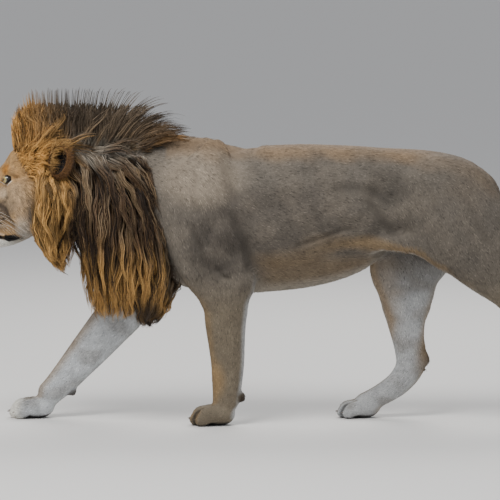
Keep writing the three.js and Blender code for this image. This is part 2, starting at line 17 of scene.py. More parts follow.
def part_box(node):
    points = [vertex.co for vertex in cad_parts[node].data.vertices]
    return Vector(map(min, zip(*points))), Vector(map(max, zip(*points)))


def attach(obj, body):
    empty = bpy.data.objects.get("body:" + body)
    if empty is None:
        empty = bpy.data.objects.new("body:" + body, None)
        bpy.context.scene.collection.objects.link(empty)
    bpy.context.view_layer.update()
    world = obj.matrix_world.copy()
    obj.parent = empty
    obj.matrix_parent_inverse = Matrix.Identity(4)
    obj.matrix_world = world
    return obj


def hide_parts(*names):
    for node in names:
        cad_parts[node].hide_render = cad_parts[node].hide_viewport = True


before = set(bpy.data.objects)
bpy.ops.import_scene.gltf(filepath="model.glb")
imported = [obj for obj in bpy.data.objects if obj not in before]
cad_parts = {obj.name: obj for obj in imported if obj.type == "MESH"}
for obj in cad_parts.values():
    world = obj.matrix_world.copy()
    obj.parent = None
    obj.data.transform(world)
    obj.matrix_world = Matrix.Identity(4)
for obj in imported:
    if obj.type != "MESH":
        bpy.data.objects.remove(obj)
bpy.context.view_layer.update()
rng = np.random.default_rng(7)

# %% [markdown]
# ## Units and the body's own frame
# The anatomy is written in millimetres, in the body's own frame: the lion faces -X, its left side is
# towards -Y and the floor is z = 0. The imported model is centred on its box, so the same body lies a few
# millimetres further on. One ball that both know, the left eye, gives that step without any guess.

# %% Step from the body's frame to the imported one
EYE = np.array([-1084.0, 62.0, 976.0])
EYE_RADIUS = 20.0
eye_low, eye_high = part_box("eye_left")
SHIFT = np.array((eye_low + eye_high) / 2) * 1000 - EYE * (1, -1, 1)
print("body frame to packed frame, mm:", SHIFT.round(2))


def metres(points):
    """Points of the body's frame, in millimetres, as packed points in metres."""
    return (points + SHIFT) / 1000


def body_mm(points):
    """Packed points in metres as points of the body's frame in millimetres."""
    return points * 1000 - SHIFT


def unit(vectors):
    return vectors / np.maximum(np.linalg.norm(vectors, axis=-1, keepdims=True), 1e-9)


def ramp(value, low, high):
    """0 below low, 1 above high, with a smooth rise between them."""
    t = np.clip((value - low) / (high - low), 0, 1)
    return t * t * (3 - 2 * t)


# %% [markdown]
# ## Camera, floor and light
# The camera comes first, because every later choice is judged through it. A long lens far away keeps the
# proportions of the profile true. The floor is one large pale plane with no edge in any view. Large soft
# lamps stand in for an overcast sky: a key from the front left and above, a fill, and a rim from behind.

# %% Camera
LOOK_AT = np.array([-120.0, 0.0, 690.0])
DISTANCE = 14.0
PITCH = math.radians(5)
LENS = 252.0

target = Vector(metres(LOOK_AT))
camera_data = bpy.data.cameras.new("profile_camera")
camera_data.lens = LENS
camera_data.sensor_width = 36
camera_data.clip_end = 1000
camera = bpy.data.objects.new("profile_camera", camera_data)
bpy.context.scene.collection.objects.link(camera)
camera.location = target + DISTANCE * Vector((0, -math.cos(PITCH), math.sin(PITCH)))
camera.rotation_euler = (target - camera.location).to_track_quat("-Z", "Y").to_euler()
bpy.context.scene.camera = camera
print("camera at", camera.location)


# %% Floor
def finish_mesh(name, bm_or_mesh, smooth=True):
    """Links a mesh as an object at the origin."""
    if isinstance(bm_or_mesh, bmesh.types.BMesh):
        mesh = bpy.data.meshes.new(name)
        bm_or_mesh.to_mesh(mesh)
        bm_or_mesh.free()
    else:
        mesh = bm_or_mesh
    mesh.polygons.foreach_set("use_smooth", [smooth] * len(mesh.polygons))
    piece = bpy.data.objects.new(name, mesh)
    bpy.context.scene.collection.objects.link(piece)
    return piece


FLOOR_HALF = 400
bm = bmesh.new()
bmesh.ops.create_grid(bm, x_segments=1, y_segments=1, size=FLOOR_HALF)
floor = finish_mesh("studio_floor", bm, smooth=False)


# %% Lamps
def soft_lamp(name, place, size, watts, colour=(1, 1, 1)):
    data = bpy.data.lights.new(name, "AREA")
    data.size = size
    data.energy = watts
    data.color = colour
    lamp = bpy.data.objects.new(name, data)
    bpy.context.scene.collection.objects.link(lamp)
    lamp.location = place
    aim = Vector((0, 0, 0.6)) - lamp.location
    lamp.rotation_euler = aim.to_track_quat("-Z", "Y").to_euler()
    return lamp


soft_lamp("key_lamp", (-2.2, -3.4, 6.2), 3.0, 430, (1.0, 0.985, 0.96))
soft_lamp("fill_lamp", (4.5, -5.5, 2.6), 4.0, 90, (0.93, 0.96, 1.0))
soft_lamp("rim_lamp", (1.0, 4.5, 5.5), 4.0, 260, (1.0, 0.98, 0.95))

world = bpy.data.worlds.new("studio_air")
bpy.context.scene.world = world
world.use_nodes = True
sky = world.node_tree.nodes["Background"]
sky.inputs["Color"].default_value = (0.93, 0.95, 1.0, 1)
sky.inputs["Strength"].default_value = 0.55

# %% [markdown]
# ## Fields: the body as one formula
# A field gives, for any point, how far it lies outside the body, and a negative number inside. The flesh
# is a set of limbs (a middle line with a depth and a width) and lumps (turned ellipsoids), joined with a
# fillet. The solids were made from the same numbers, so a skin that settles on a level of this field fits
# them closely. Sculpting by hand would also work, but it couldn't be repeated to the millimetre.

# %% Middle lines
PER_SPAN = 4


def line_through(points):
    """A centripetal Catmull-Rom line through 3-D points, PER_SPAN steps to a span."""
    ends = 2 * points[0] - points[1], 2 * points[-1] - points[-2]
    p = np.vstack([ends[0], points, ends[1]])
    gap = np.maximum(np.linalg.norm(np.diff(p, axis=0), axis=1) ** 0.5, 1e-3)
    out = []
    for i in range(len(points) - 1):
        a, b, c, d = p[i:i + 4]
        g0, g1, g2 = gap[i:i + 3]
        m1 = ((b - a) / g0 - (c - a) / (g0 + g1) + (c - b) / g1) * g1
        m2 = ((c - b) / g1 - (d - b) / (g1 + g2) + (d - c) / g2) * g1
        for t in np.arange(PER_SPAN) / PER_SPAN:
            out.append(b + m1 * t + (3 * (c - b) - 2 * m1 - m2) * t ** 2 + (2 * (b - c) + m1 + m2) * t ** 3)
    return np.array(out + [points[-1]])


def sizes_through(sizes):
    """The depth and width of each step, on an even Catmull-Rom line."""
    p = np.vstack([sizes[0], sizes, sizes[-1]])
    out = []
    for i in range(len(sizes) - 1):
        a, b, c, d = p[i:i + 4]
        m1, m2 = (c - a) / 2, (d - b) / 2
        for t in np.arange(PER_SPAN) / PER_SPAN:
            out.append(b + m1 * t + (3 * (c - b) - 2 * m1 - m2) * t ** 2 + (2 * (b - c) + m1 + m2) * t ** 3)
    return np.array(out + [sizes[-1]])


# %% Limbs and lumps
FAR = 2000.0


def limb(stations, keel=0.0):
    """Stations are [x, y, z, depth, width]. keel makes the lower side narrower than the upper."""
    s = np.array(stations, float)
    rings = np.hstack([line_through(s[:, :3]), sizes_through(s[:, 3:])])
    reach = rings[:, 3:].max(axis=1, keepdims=True)

    def field(p):
        nearest = np.full(len(p), FAR)
        for a, b in zip(rings[:-1], rings[1:]):
            step = b[:3] - a[:3]
            t = np.clip((p - a[:3]) @ step / (step @ step), 0, 1)
            qx = p[:, 0] - a[0] - t * step[0]
            qy = p[:, 1] - a[1] - t * step[1]
            qz = p[:, 2] - a[2] - t * step[2]
            depth = a[3] + t * (b[3] - a[3])
            width = a[4] + t * (b[4] - a[4])
            if keel:
                width = width * (1 + keel * np.clip(qz / depth, -1, 1))
            in_plane = qx * qx + qz * qz
            k = np.maximum(np.sqrt(in_plane / depth ** 2 + (qy / width) ** 2), 1e-4)
            np.minimum(nearest, np.sqrt(in_plane + qy * qy) * (1 - 1 / k) - 1e-3, out=nearest)
        return nearest

    return {"field": field, "low": (rings[:, :3] - reach).min(0), "high": (rings[:, :3] + reach).max(0)}


def lump(centre, half, pitch=0.0):
    """An ellipsoid with three half-axes, turned by pitch degrees in the side view."""
    centre, half = np.array(centre, float), np.array(half, float)
    cos, sin = math.cos(math.radians(pitch)), math.sin(math.radians(pitch))
    reach = np.array([max(half[0], half[2]), half[1], max(half[0], half[2])])

    def field(p):
        x, y, z = (p - centre).T
        u, v = cos * x + sin * z, cos * z - sin * x
        k = np.maximum(np.sqrt((u / half[0]) ** 2 + (y / half[1]) ** 2 + (v / half[2]) ** 2), 1e-4)
        return np.sqrt(u * u + y * y + v * v) * (1 - 1 / k) - 1e-3

    return {"field": field, "low": centre - reach, "high": centre + reach}


# %% Joining shapes
def mirrored(shape):
    flip = np.array([1.0, -1.0, 1.0])
    low, high = shape["low"] * flip, shape["high"] * flip
    other = dict(shape, low=np.minimum(low, high), high=np.maximum(low, high))
    other["field"] = lambda p: shape["field"](p * flip)
    return other


def both(*shapes):
    return [s for shape in shapes for s in (shape, mirrored(shape))]


def fillet(k, *shapes):
    return [dict(shape, k=k) for shape in shapes]


def hollowed(shapes):
    return [dict(shape, hollow=True) for shape in shapes]


def joined(shapes):
    """One field from many shapes, each with its own fillet. A hollow is taken away instead of joined."""
    def field(p):
        d = np.full(len(p), FAR)
        for s in shapes:
            k = s.get("k", 1e-3)
            near = np.all((p > s["low"] - k - 60) & (p < s["high"] + k + 60), axis=1)
            if not near.any():
                continue
            here = d[near]
            e = s["field"](p[near])
            if s.get("hollow"):
                h = np.clip(0.5 + 0.5 * (here + e) / k, 0, 1)
                d[near] = -e + (here + e) * h + k * h * (1 - h)
            else:
                h = np.clip(0.5 + 0.5 * (e - here) / k, 0, 1)
                d[near] = e + (here - e) * h - k * h * (1 - h)
        return d

    return field


def slope(field, p, value=None, step=0.6):
    """The gradient of a field by forward steps."""
    value = field(p) if value is None else value
    return np.stack([(field(p + step * axis) - value) / step for axis in np.eye(3)], axis=1)


# %% [markdown]
# ## Anatomy
# The same stations as the solids', listed part by part. The near foreleg stands under the shoulder, the
# far one reaches forward, the far hind leg stands under the belly and the near one pushes off behind.

# %% Trunk
FLANK_FOLD = [  # the loose fold of skin from the flank to the near thigh
    [300, -88, 730, 30, 22], [390, -100, 728, 36, 22], [480, -112, 726, 40, 24], [560, -122, 712, 42, 28],
    [640, -128, 680, 46, 32],
]
trunk = [
    *fillet(40, limb([
        [-430, 0, 850, 235, 155], [-330, 0, 822, 285, 178], [-200, 0, 806, 292, 192], [-60, 0, 812, 294, 198],
        [80, 0, 826, 292, 196], [200, 0, 842, 272, 186], [290, 0, 872, 238, 168], [380, 0, 893, 210, 148],
        [490, 0, 910, 190, 138], [600, 0, 915, 176, 142], [690, 0, 908, 160, 140], [755, 0, 894, 128, 120],
    ], keel=0.12)),
    *fillet(60, limb([  # neck
        [-880, 0, 985, 150, 112], [-780, 0, 955, 172, 122], [-650, 0, 925, 196, 138],
        [-520, 0, 885, 226, 158], [-420, 0, 850, 240, 170],
    ])),
    *fillet(70, lump([-505, 0, 700], [90, 105, 130])),  # brisket
    *fillet(35, limb([[-420, 0, 1085, 62, 46], [-320, 0, 1085, 60, 44], [-200, 0, 1062, 48, 42]])),  # withers
    *fillet(30, *both(limb([[-60, 62, 1072, 36, 44], [250, 62, 1070, 36, 46], [560, 60, 1050, 36, 46]]))),  # loins
    *fillet(60, *both(lump([630, 95, 975], [105, 62, 92]))),  # hip bone and rump
    *fillet(40, lump([782, 0, 940], [66, 60, 62])),  # root of the tail
    *fillet(26, lump([335, 0, 664], [54, 24, 22], 30)),  # sheath
    *fillet(34, limb(FLANK_FOLD)),
    *fillet(34, limb([[330, 84, 716, 26, 18], [400, 98, 700, 30, 20], [450, 108, 660, 34, 24]])),
    *fillet(24, *both(lump([845, 26, 850], [30, 25, 44]))),  # scrotum
]

# %% Forelegs
fore_left = [
    *fillet(50, limb([
        [-262, -112, 1085, 62, 34], [-300, -148, 985, 108, 48], [-330, -164, 870, 132, 58],
        [-318, -166, 760, 140, 66], [-272, -160, 650, 136, 72], [-228, -150, 560, 112, 74],
    ])),
    *fillet(30, limb([
        [-222, -148, 560, 104, 72], [-216, -140, 490, 95, 72], [-217, -130, 410, 86, 66],
        [-213, -122, 330, 77, 59], [-209, -116, 250, 70, 53], [-211, -113, 175, 64, 50], [-214, -112, 110, 58, 50],
    ])),
    *fillet(26, lump([-140, -152, 566], [44, 40, 56], -18)),  # point of the elbow
    *fillet(30, lump([-215, -168, 700], [62, 40, 130], -22)),  # triceps
    *fillet(16, lump([-150, -112, 112], [17, 20, 22])),  # carpal pad
]
fore_right = [
    *fillet(50, limb([
        [-300, 112, 1080, 62, 34], [-370, 148, 980, 106, 48], [-450, 164, 870, 126, 58],
        [-530, 164, 760, 128, 66], [-580, 156, 660, 124, 74], [-598, 146, 560, 112, 74],
    ])),
    *fillet(30, limb([
        [-590, 144, 540, 110, 72], [-626, 136, 446, 100, 70], [-690, 128, 368, 91, 64],
        [-753, 122, 294, 82, 58], [-815, 117, 222, 72, 53], [-874, 113, 154, 63, 50], [-925, 112, 104, 54, 50],
    ])),
    *fillet(26, lump([-522, 146, 486], [46, 40, 56], 30)),
    *fillet(16, lump([-838, 112, 106], [20, 20, 20])),
]

# %% Hind legs
hind_right = [
    *fillet(60, limb([
        [690, 120, 870, 165, 70], [620, 128, 780, 178, 82], [545, 126, 690, 168, 84],
        [508, 122, 610, 150, 76], [512, 118, 540, 122, 66], [514, 116, 480, 97, 58],
    ])),
    *fillet(30, limb([
        [510, 116, 480, 104, 58], [510, 114, 410, 86, 52], [518, 113, 330, 70, 46], [530, 112, 262, 66, 42],
        [529, 112, 212, 62, 42], [486, 112, 146, 54, 42], [412, 112, 94, 47, 44], [350, 112, 62, 44, 46],
    ])),
    *fillet(16, lump([586, 112, 232], [26, 26, 40], 12)),  # heel
]
hind_left = [
    *fillet(60, limb([
        [680, -120, 870, 190, 72], [735, -130, 790, 186, 84], [800, -132, 715, 170, 84],
        [868, -126, 640, 146, 76], [930, -120, 572, 116, 64],
    ])),
    *fillet(30, limb([
        [930, -120, 572, 114, 62], [1000, -116, 478, 90, 54], [1062, -113, 380, 70, 46],
        [1106, -112, 300, 64, 42], [1136, -112, 226, 56, 40], [1160, -112, 150, 48, 42], [1172, -112, 88, 45, 46],
    ])),
    *fillet(16, lump([1148, -112, 332], [26, 26, 42], 30)),
]

# %% Paws
FORE_TRACK = HIND_TRACK = 112
FOREPAW = (178, 132, 84)
HINDPAW = (166, 116, 76)
PAWS = [  # back of the paw along x, y, size
    (-178, -FORE_TRACK, FOREPAW), (-912, FORE_TRACK, FOREPAW),
    (1216, -HIND_TRACK, HINDPAW), (402, HIND_TRACK, HINDPAW),
]
TOES = (-0.74, -0.27, 0.27, 0.74)


def toe_tip(heel, y, place, size):
    length, width, height = size
    set_back = 0.13 * length if abs(place) > 0.5 else 0
    return np.array([heel - 0.88 * length + set_back, y + place * width * 0.5, height * 0.27])


def paw(heel, y, size):
    length, width, height = size
    toes = []
    for place in TOES:
        x, toe_y, z = toe_tip(heel, y, place, size)
        toes.append(limb([
            [heel - 0.5 * length, y + place * width * 0.38, height * 0.56, height * 0.42, width * 0.17],
            [x + 0.12 * length, toe_y, height * 0.5, height * 0.42, width * 0.165],
            [x, toe_y, z, height * 0.33, width * 0.15],
        ]))
    ball = lump([heel - 0.4 * length, y, height * 0.47], [length * 0.4, width * 0.46, height * 0.53])
    return [*fillet(30, ball), *fillet(10, *toes)]


paws = [shape for heel, y, size in PAWS for shape in paw(heel, y, size)]

# %% Head
head = [
    *fillet(30, lump([-935, 0, 1025], [138, 104, 108], 10)),  # braincase
    *fillet(40, limb([  # forehead and bridge of the nose
        [-1010, 0, 1045, 74, 78], [-1065, 0, 1010, 50, 58], [-1130, 0, 946, 44, 50], [-1198, 0, 886, 36, 44],
    ])),
    *fillet(40, *both(limb([  # cheekbones
        [-1050, 82, 935, 38, 34], [-990, 108, 930, 52, 38], [-930, 108, 925, 64, 44],
    ]))),
    *fillet(40, *both(lump([-985, 78, 850], [100, 56, 98], 20))),  # jaw muscles
    *fillet(36, limb([[-1050, 0, 852, 98, 96], [-1130, 0, 842, 88, 84], [-1176, 0, 836, 68, 68]])),  # muzzle
    *fillet(22, *both(lump([-1178, 38, 806], [50, 42, 48], -8))),  # whisker pads
    *fillet(10, lump([-1222, 0, 874], [25, 44, 30], -35)),  # nose
    *fillet(30, limb([[-985, 0, 806, 52, 92], [-1080, 0, 753, 47, 72], [-1160, 0, 728, 38, 52]])),  # lower jaw
    *fillet(20, lump([-1178, 0, 730], [36, 50, 38])),  # chin
    *fillet(18, *both(lump([-1066, 58, 1008], [32, 26, 20], -25))),  # brows
]
eye_sockets = [
    *hollowed(fillet(14, *both(lump(EYE + (-24, 14, -1), [22, 16, 17])))),
    *fillet(8, *both(lump(EYE + (4, -3, 0), [EYE_RADIUS + 3] * 3))),
]

# %% Tail and mane
tail = fillet(20, limb([
    [786, 0, 958, 44, 40], [836, 0, 922, 38, 34], [868, 6, 862, 32, 30], [896, 14, 780, 28, 26],
    [926, 20, 690, 25, 23], [962, 26, 592, 22, 21], [1004, 30, 494, 19, 19], [1052, 33, 410, 17, 17],
    [1100, 35, 352, 16, 16], [1146, 36, 318, 15, 15],
]))
mane_shapes = [
    *fillet(30, limb([  # the crest, from the forehead to the withers
        [-1062, 0, 1180, 40, 40], [-1010, 0, 1200, 82, 66], [-940, 0, 1210, 108, 80], [-850, 0, 1205, 120, 84],
        [-740, 0, 1198, 116, 80], [-640, 0, 1200, 112, 74], [-560, 0, 1196, 98, 64], [-490, 0, 1176, 72, 56],
        [-430, 0, 1162, 52, 50], [-372, 0, 1156, 36, 40],
    ])),
    *fillet(50, limb([  # the ruff round the face
        [-876, 0, 1110, 96, 118], [-880, 0, 1030, 106, 160], [-886, 0, 940, 112, 214], [-888, 0, 860, 112, 234],
        [-892, 0, 780, 106, 200], [-890, 0, 710, 90, 148], [-884, 0, 660, 46, 84],
    ])),
    *fillet(60, limb([  # the long hair of the neck and chest
        [-690, 0, 1090, 156, 160], [-668, 0, 980, 188, 212], [-636, 0, 860, 212, 242], [-606, 0, 710, 222, 240],
        [-590, 0, 600, 206, 222], [-592, 0, 510, 178, 172],
    ])),
    *hollowed(fillet(50, lump([-600, 0, -900], [1500, 1500, 1325]))),  # the locks end at one level
    *fillet(24, lump([-520, 95, 432], [52, 40, 50])),  # tuft at the far elbow
]
legs = [*hind_right, *hind_left, *fore_right, *fore_left, *paws]
flesh_field = joined([*trunk, *legs, *head, *eye_sockets, *tail])
mane_field = joined(mane_shapes)
print("flesh shapes:", len(trunk + legs + head), "mane shapes:", len(mane_shapes))

# %% [markdown]
# ## One skin over all the flesh
# The flesh nodes are copied, merged, and swollen a little so that the cuts between them close. A voxel
# remesh turns the heap into one even shell. It is coarse, so the face and the paws are subdivided where
# lids, lips and toes need smaller faces. Then every vertex settles on the level of the field that lies
# under the coat. Drawing the shell by hand, vertex by vertex, would give no even mesh to settle.

# %% Flesh nodes as one shell
SWELL = 0.003
VOXEL = 0.014
FLESH = [
    "head", "lower_jaw", "neck", "trunk", "tail",
    "shoulder_left", "shoulder_right", "forearm_left", "forearm_right", "forepaw_left", "forepaw_right",
    "thigh_left", "thigh_right", "shank_left", "shank_right", "hind_foot_left", "hind_foot_right",
]


def merged_copy(bm, node):
    """Adds a CAD node's mesh to bm, merged and moved out along its normals."""
    part = bmesh.new()
    part.from_mesh(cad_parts[node].data)
    bmesh.ops.remove_doubles(part, verts=part.verts, dist=1e-5)
    part.normal_update()
    for v in part.verts:
        v.co += SWELL * v.normal
    bm_mesh = bpy.data.meshes.new(node + "_copy")
    part.to_mesh(bm_mesh)
    part.free()
    bm.from_mesh(bm_mesh)
    bpy.data.meshes.remove(bm_mesh)


def ball(bm, centre_mm, radius_mm):
    """Adds a sphere that the remesh joins to the flesh: an eyeball in its lids, or a bead of a skin fold."""
    turn = Matrix.Translation(Vector(metres(np.array(centre_mm))))
    bmesh.ops.create_icosphere(bm, subdivisions=3, radius=radius_mm / 1000, matrix=turn)


bm = bmesh.new()
for node in FLESH:
    merged_copy(bm, node)
for side in (-1, 1):
    ball(bm, EYE * (1, side, 1), EYE_RADIUS + 2)
for centre in line_through(np.array(FLANK_FOLD, float)[:, :3]):
    ball(bm, centre, 30)
skin = finish_mesh("lion_skin", bm)
remesh = skin.modifiers.new("one_shell", "REMESH")
remesh.mode = "VOXEL"
remesh.voxel_size = VOXEL
shell = bpy.data.meshes.new_from_object(skin.evaluated_get(bpy.context.evaluated_depsgraph_get()))
skin.modifiers.clear()
skin.data = shell
print("shell:", len(shell.vertices), "vertices")


# %% Points in and out of a mesh
def points_of(mesh):
    """A mesh's vertices in the body's frame."""
    co = np.empty(len(mesh.vertices) * 3, np.float32)
    mesh.vertices.foreach_get("co", co)
    return body_mm(co.reshape(-1, 3).astype(float))


def place(mesh, points):
    mesh.vertices.foreach_set("co", metres(points).astype(np.float32).ravel())
    mesh.update()


def settle(field, points, level, steps=5, longest=4.0):
    """Moves points along the slope of a field until they lie at -level."""
    p = points.copy()
    for _ in range(steps):
        value = field(p)
        g = slope(field, p, value)
        steep = np.maximum((g * g).sum(1), 0.2)
        move = np.clip(-(value + level(p)) / steep, -longest, longest)
        p += g * move[:, None]
    return p


# %% Where the face and the paws need small faces
def from_line(p, line):
    """Distance from p to a polyline, and how far along it the nearest point is, 0 to 1."""
    line = np.array(line, float)
    best, along = np.full(len(p), FAR), np.zeros(len(p))
    lengths = np.linalg.norm(np.diff(line, axis=0), axis=1)
    starts = np.concatenate([[0], np.cumsum(lengths)])
    for a, b, start, length in zip(line[:-1], line[1:], starts, lengths):
        t = np.clip((p - a) @ (b - a) / (length * length), 0, 1)
        d = np.linalg.norm(p - a - t[:, None] * (b - a), axis=1)
        nearer = d < best
        best[nearer] = d[nearer]
        along[nearer] = ((start + t * length) / starts[-1])[nearer]
    return best, along


def folded(p):
    """Both sides of the head laid on the left one, where y is negative."""
    return p * (1, 1, 1) * np.where(p[:, 1:2] > 0, (1, -1, 1), (1, 1, 1))


def on_skin(line, spacing=6.0):
    """A line of guessed points as close points on the skin."""
    line = np.array(line, float)
    parts = [line[:1]]
    for a, b in zip(line[:-1], line[1:]):
        steps = max(1, round(np.linalg.norm(b - a) / spacing))
        parts.append(a + (b - a) * np.arange(1, steps + 1)[:, None] / steps)
    return settle(flesh_field, np.vstack(parts), lambda p: np.full(len(p), 2.0), steps=16)


LIP_LINE = on_skin([
    [-1226, 0, 764], [-1216, -28, 761], [-1192, -52, 758], [-1150, -68, 752], [-1100, -74, 743],
    [-1072, -80, 735], [-1052, -82, 729], [-1038, -84, 728],
])
NOSE = np.array([-1230.0, 0.0, 868.0])
LEFT_EYE = EYE * (1, -1, 1)


# Side, depth, half width and a line in the side view: the grooves between the muscles.
MUSCLE_LINES = [
    (-1, 10, 28, [[-205, 880], [-172, 800], [-140, 740], [-124, 660], [-122, 570]]),  # behind the triceps
    (-1, 7, 34, [[-250, 1090], [-212, 1000], [-190, 920], [-196, 860]]),  # back edge of the shoulder blade
    (-1, 5, 26, [[-330, 1030], [-338, 920], [-322, 830]]),  # spine of the blade
    (-1, 8, 22, [[-360, 830], [-338, 760], [-306, 690], [-290, 620]]),  # between shoulder and triceps
    (-1, 7, 18, [[-262, 650], [-226, 604], [-180, 590]]),  # fold above the elbow
    (-1, 8, 30, [[300, 930], [356, 880], [430, 790], [470, 720]]),  # front edge of the thigh
    (-1, 9, 40, [[180, 926], [260, 950], [350, 940], [420, 900]]),  # flank hollow under the loins
    (-1, 7, 18, [[40, 712], [130, 742], [240, 782], [330, 790]]),  # edge of the flank fold
    (-1, 5, 30, [[560, 980], [600, 900], [610, 820]]),
    (-1, 6, 30, [[690, 980], [742, 880], [790, 780], [840, 700]]),  # back edge of the thigh muscle
    (-1, 2, 24, [[-50, 1010], [40, 1018], [160, 1012], [300, 1010]]),  # under the muscles of the back
    (1, 12, 30, [[-340, 900], [-350, 800], [-400, 690], [-450, 610]]),
    (1, 7, 34, [[-330, 1060], [-300, 980], [-320, 900]]),
    (1, 8, 30, [[300, 930], [350, 870], [380, 790], [390, 720]]),
    (1, 9, 40, [[180, 926], [260, 950], [350, 940], [420, 900]]),
    (1, 7, 18, [[40, 712], [130, 742], [240, 782], [330, 790]]),
    (1, 2, 24, [[-50, 1010], [40, 1018], [160, 1012], [300, 1010]]),
]
GROOVE_ZONE = 40


def near_groove(p):
    """True beside the grooves that need smaller faces than the rest of the body."""
    near = np.zeros(len(p), bool)
    for side, depth, half, line in MUSCLE_LINES:
        if depth >= 7:
            d = from_line(p * (1, 0, 1), [[x, 0, z] for x, z in line])[0]
            near |= (d < GROOVE_ZONE) & (side * p[:, 1] > 60)
    return near


def needs_detail(p, level):
    f = folded(p)
    eye = np.linalg.norm(f - LEFT_EYE, axis=1)
    lips = from_line(f, LIP_LINE)[0]
    nose = np.linalg.norm(p - NOSE, axis=1)
    if level == 0:
        return (p[:, 0] < -950) & (p[:, 2] > 660) | (p[:, 2] < 95) & (p[:, 2] > 8) | near_groove(p)
    if level == 1:
        return (p[:, 0] < -1000) & (p[:, 2] > 660)
    if level == 2:
        return (eye < 46) | (lips < 13) | (nose < 44)
    return (eye < 27) | (lips < 5)


def subdivide_where(mesh, level):
    bm = bmesh.new()
    bm.from_mesh(mesh)
    centres = np.array([f.calc_center_median() for f in bm.faces])
    chosen = needs_detail(body_mm(centres), level)
    edges = {e for f, yes in zip(bm.faces, chosen) if yes for e in f.edges}
    bmesh.ops.subdivide_edges(bm, edges=list(edges), cuts=1, use_grid_fill=True)
    bm.to_mesh(mesh)
    bm.free()


def coat_depth(p):
    """How far the skin lies inside the solids: less on the face, the legs and the paws."""
    depth = 5.5 - 2.0 * ramp(-p[:, 0], 940, 1020) - 1.5 * ramp(-p[:, 2], -480, -200) * (p[:, 0] > -1000)
    depth -= 1.0 * ramp(-p[:, 2], -120, -60) * (p[:, 0] > -1000)
    eye = np.linalg.norm(folded(p) - LEFT_EYE, axis=1)
    depth = np.where(eye < 60, np.minimum(depth, 1.2 + 2.3 * ramp(eye, 30, 60)), depth)
    nose = np.linalg.norm(p - NOSE, axis=1)
    return np.where(nose < 80, np.minimum(depth, 1 + 2.5 * ramp(nose, 34, 80)), depth)


place(skin.data, settle(flesh_field, points_of(skin.data), coat_depth, steps=4, longest=6.0))
for level in range(4):
    before = len(skin.data.vertices)
    subdivide_where(skin.data, level)
    p = points_of(skin.data)
    p[before:] = settle(flesh_field, p[before:], coat_depth, steps=1)
    place(skin.data, p)
bm = bmesh.new()
bm.from_mesh(skin.data)
for _ in range(2):
    bmesh.ops.smooth_vert(bm, verts=bm.verts, factor=0.5, use_axis_x=True, use_axis_y=True, use_axis_z=True)
bmesh.ops.recalc_face_normals(bm, faces=bm.faces)
bm.to_mesh(skin.data)
bm.free()
place(skin.data, settle(flesh_field, points_of(skin.data), coat_depth, steps=2))
print("skin:", len(skin.data.vertices), "vertices", len(skin.data.polygons), "faces")

# %% [markdown]
# ## Folds, lids and lips
# Big forms come from the field. What is sharper than a field can hold is pressed in or raised along the
# normals afterwards: the grooves between muscles, the folds of the flank and elbow, the mouth line between
# two rolled lips, the nostrils, and the almond opening that bares each eye between its lids.

# %% Normals and pressing
def normals_of(mesh):
    n = np.empty(len(mesh.vertices) * 3, np.float32)
    mesh.vertex_normals.foreach_get("vector", n)
    return n.reshape(-1, 3).astype(float)


def valley(distance, half):
    """1 on a line, 0 at half and beyond, with a round profile."""
    return 1 - ramp(distance, 0, half)


def taper(along):
    """Fades a line out at both ends."""
    return ramp(along, 0, 0.25) * ramp(1 - along, 0, 0.25)


# Broad hollows (below 0) and swells: x, z, half length, half height, pitch, height of the form in mm.
FORMS = [
    (432, 940, 92, 84, 20, -11), (-20, 900, 120, 40, 24, -4), (120, 870, 110, 46, 20, 5), (250, 846, 90, 36, 14, 5),
    (-60, 790, 90, 60, 10, 3), (640, 900, 110, 100, -20, 4), (380, 775, 60, 26, 40, -5), (-232, 740, 46, 90, -14, 7),
    (-290, 800, 34, 40, 0, -4), (-320, 980, 70, 90, -14, 4), (-180, 600, 40, 34, 0, -5),
]


def broad_forms(p, n):
    """Height of the hollows and swells of both sides, in millimetres."""
    height = np.zeros(len(p))
    outer = ramp(np.abs(n[:, 1]), 0.1, 0.6)
    for x, z, long, high, pitch, amount in FORMS:
        cos, sin = math.cos(math.radians(pitch)), math.sin(math.radians(pitch))
        u, v = p[:, 0] - x, p[:, 2] - z
        k = np.sqrt(((cos * u + sin * v) / long) ** 2 + ((cos * v - sin * u) / high) ** 2)
        height += amount * (1 - ramp(k, 0.3, 1.3))
    return height * outer * (p[:, 2] > 470)


def muscle_grooves(p, n):
    press = np.zeros(len(p))
    for side, depth, half, line in MUSCLE_LINES:
        flat = p * (1, 0, 1)
        d, along = from_line(flat, [[x, 0, z] for x, z in line])
        outer = ramp(side * p[:, 1], 50, 90) * ramp(side * n[:, 1], 0.05, 0.5)
        press += depth * valley(d, half) * taper(along) * outer
    return press


def ribs_and_sinews(p, n):
    """A low swell of ribs behind the shoulder and the cords on the lower legs."""
    outer = ramp(np.abs(n[:, 1]), 0.3, 0.8)
    chest = ramp(p[:, 0], -140, -60) * ramp(-p[:, 0], -320, -220) * ramp(p[:, 2], 640, 700) * ramp(-p[:, 2], -960, -860)
    swell = np.sin((p[:, 0] + 0.45 * p[:, 2]) / 62 * 2 * math.pi)
    return 1.3 * swell * chest * outer


# %% The eye's own frame
LIDS_OUT = math.radians(46)
GAZE_OUT = math.radians(36)
FISSURE_TILT = math.radians(20)
FISSURE = (20.0, 10.5, 10.0)  # half length, height of the upper arch, depth of the lower one


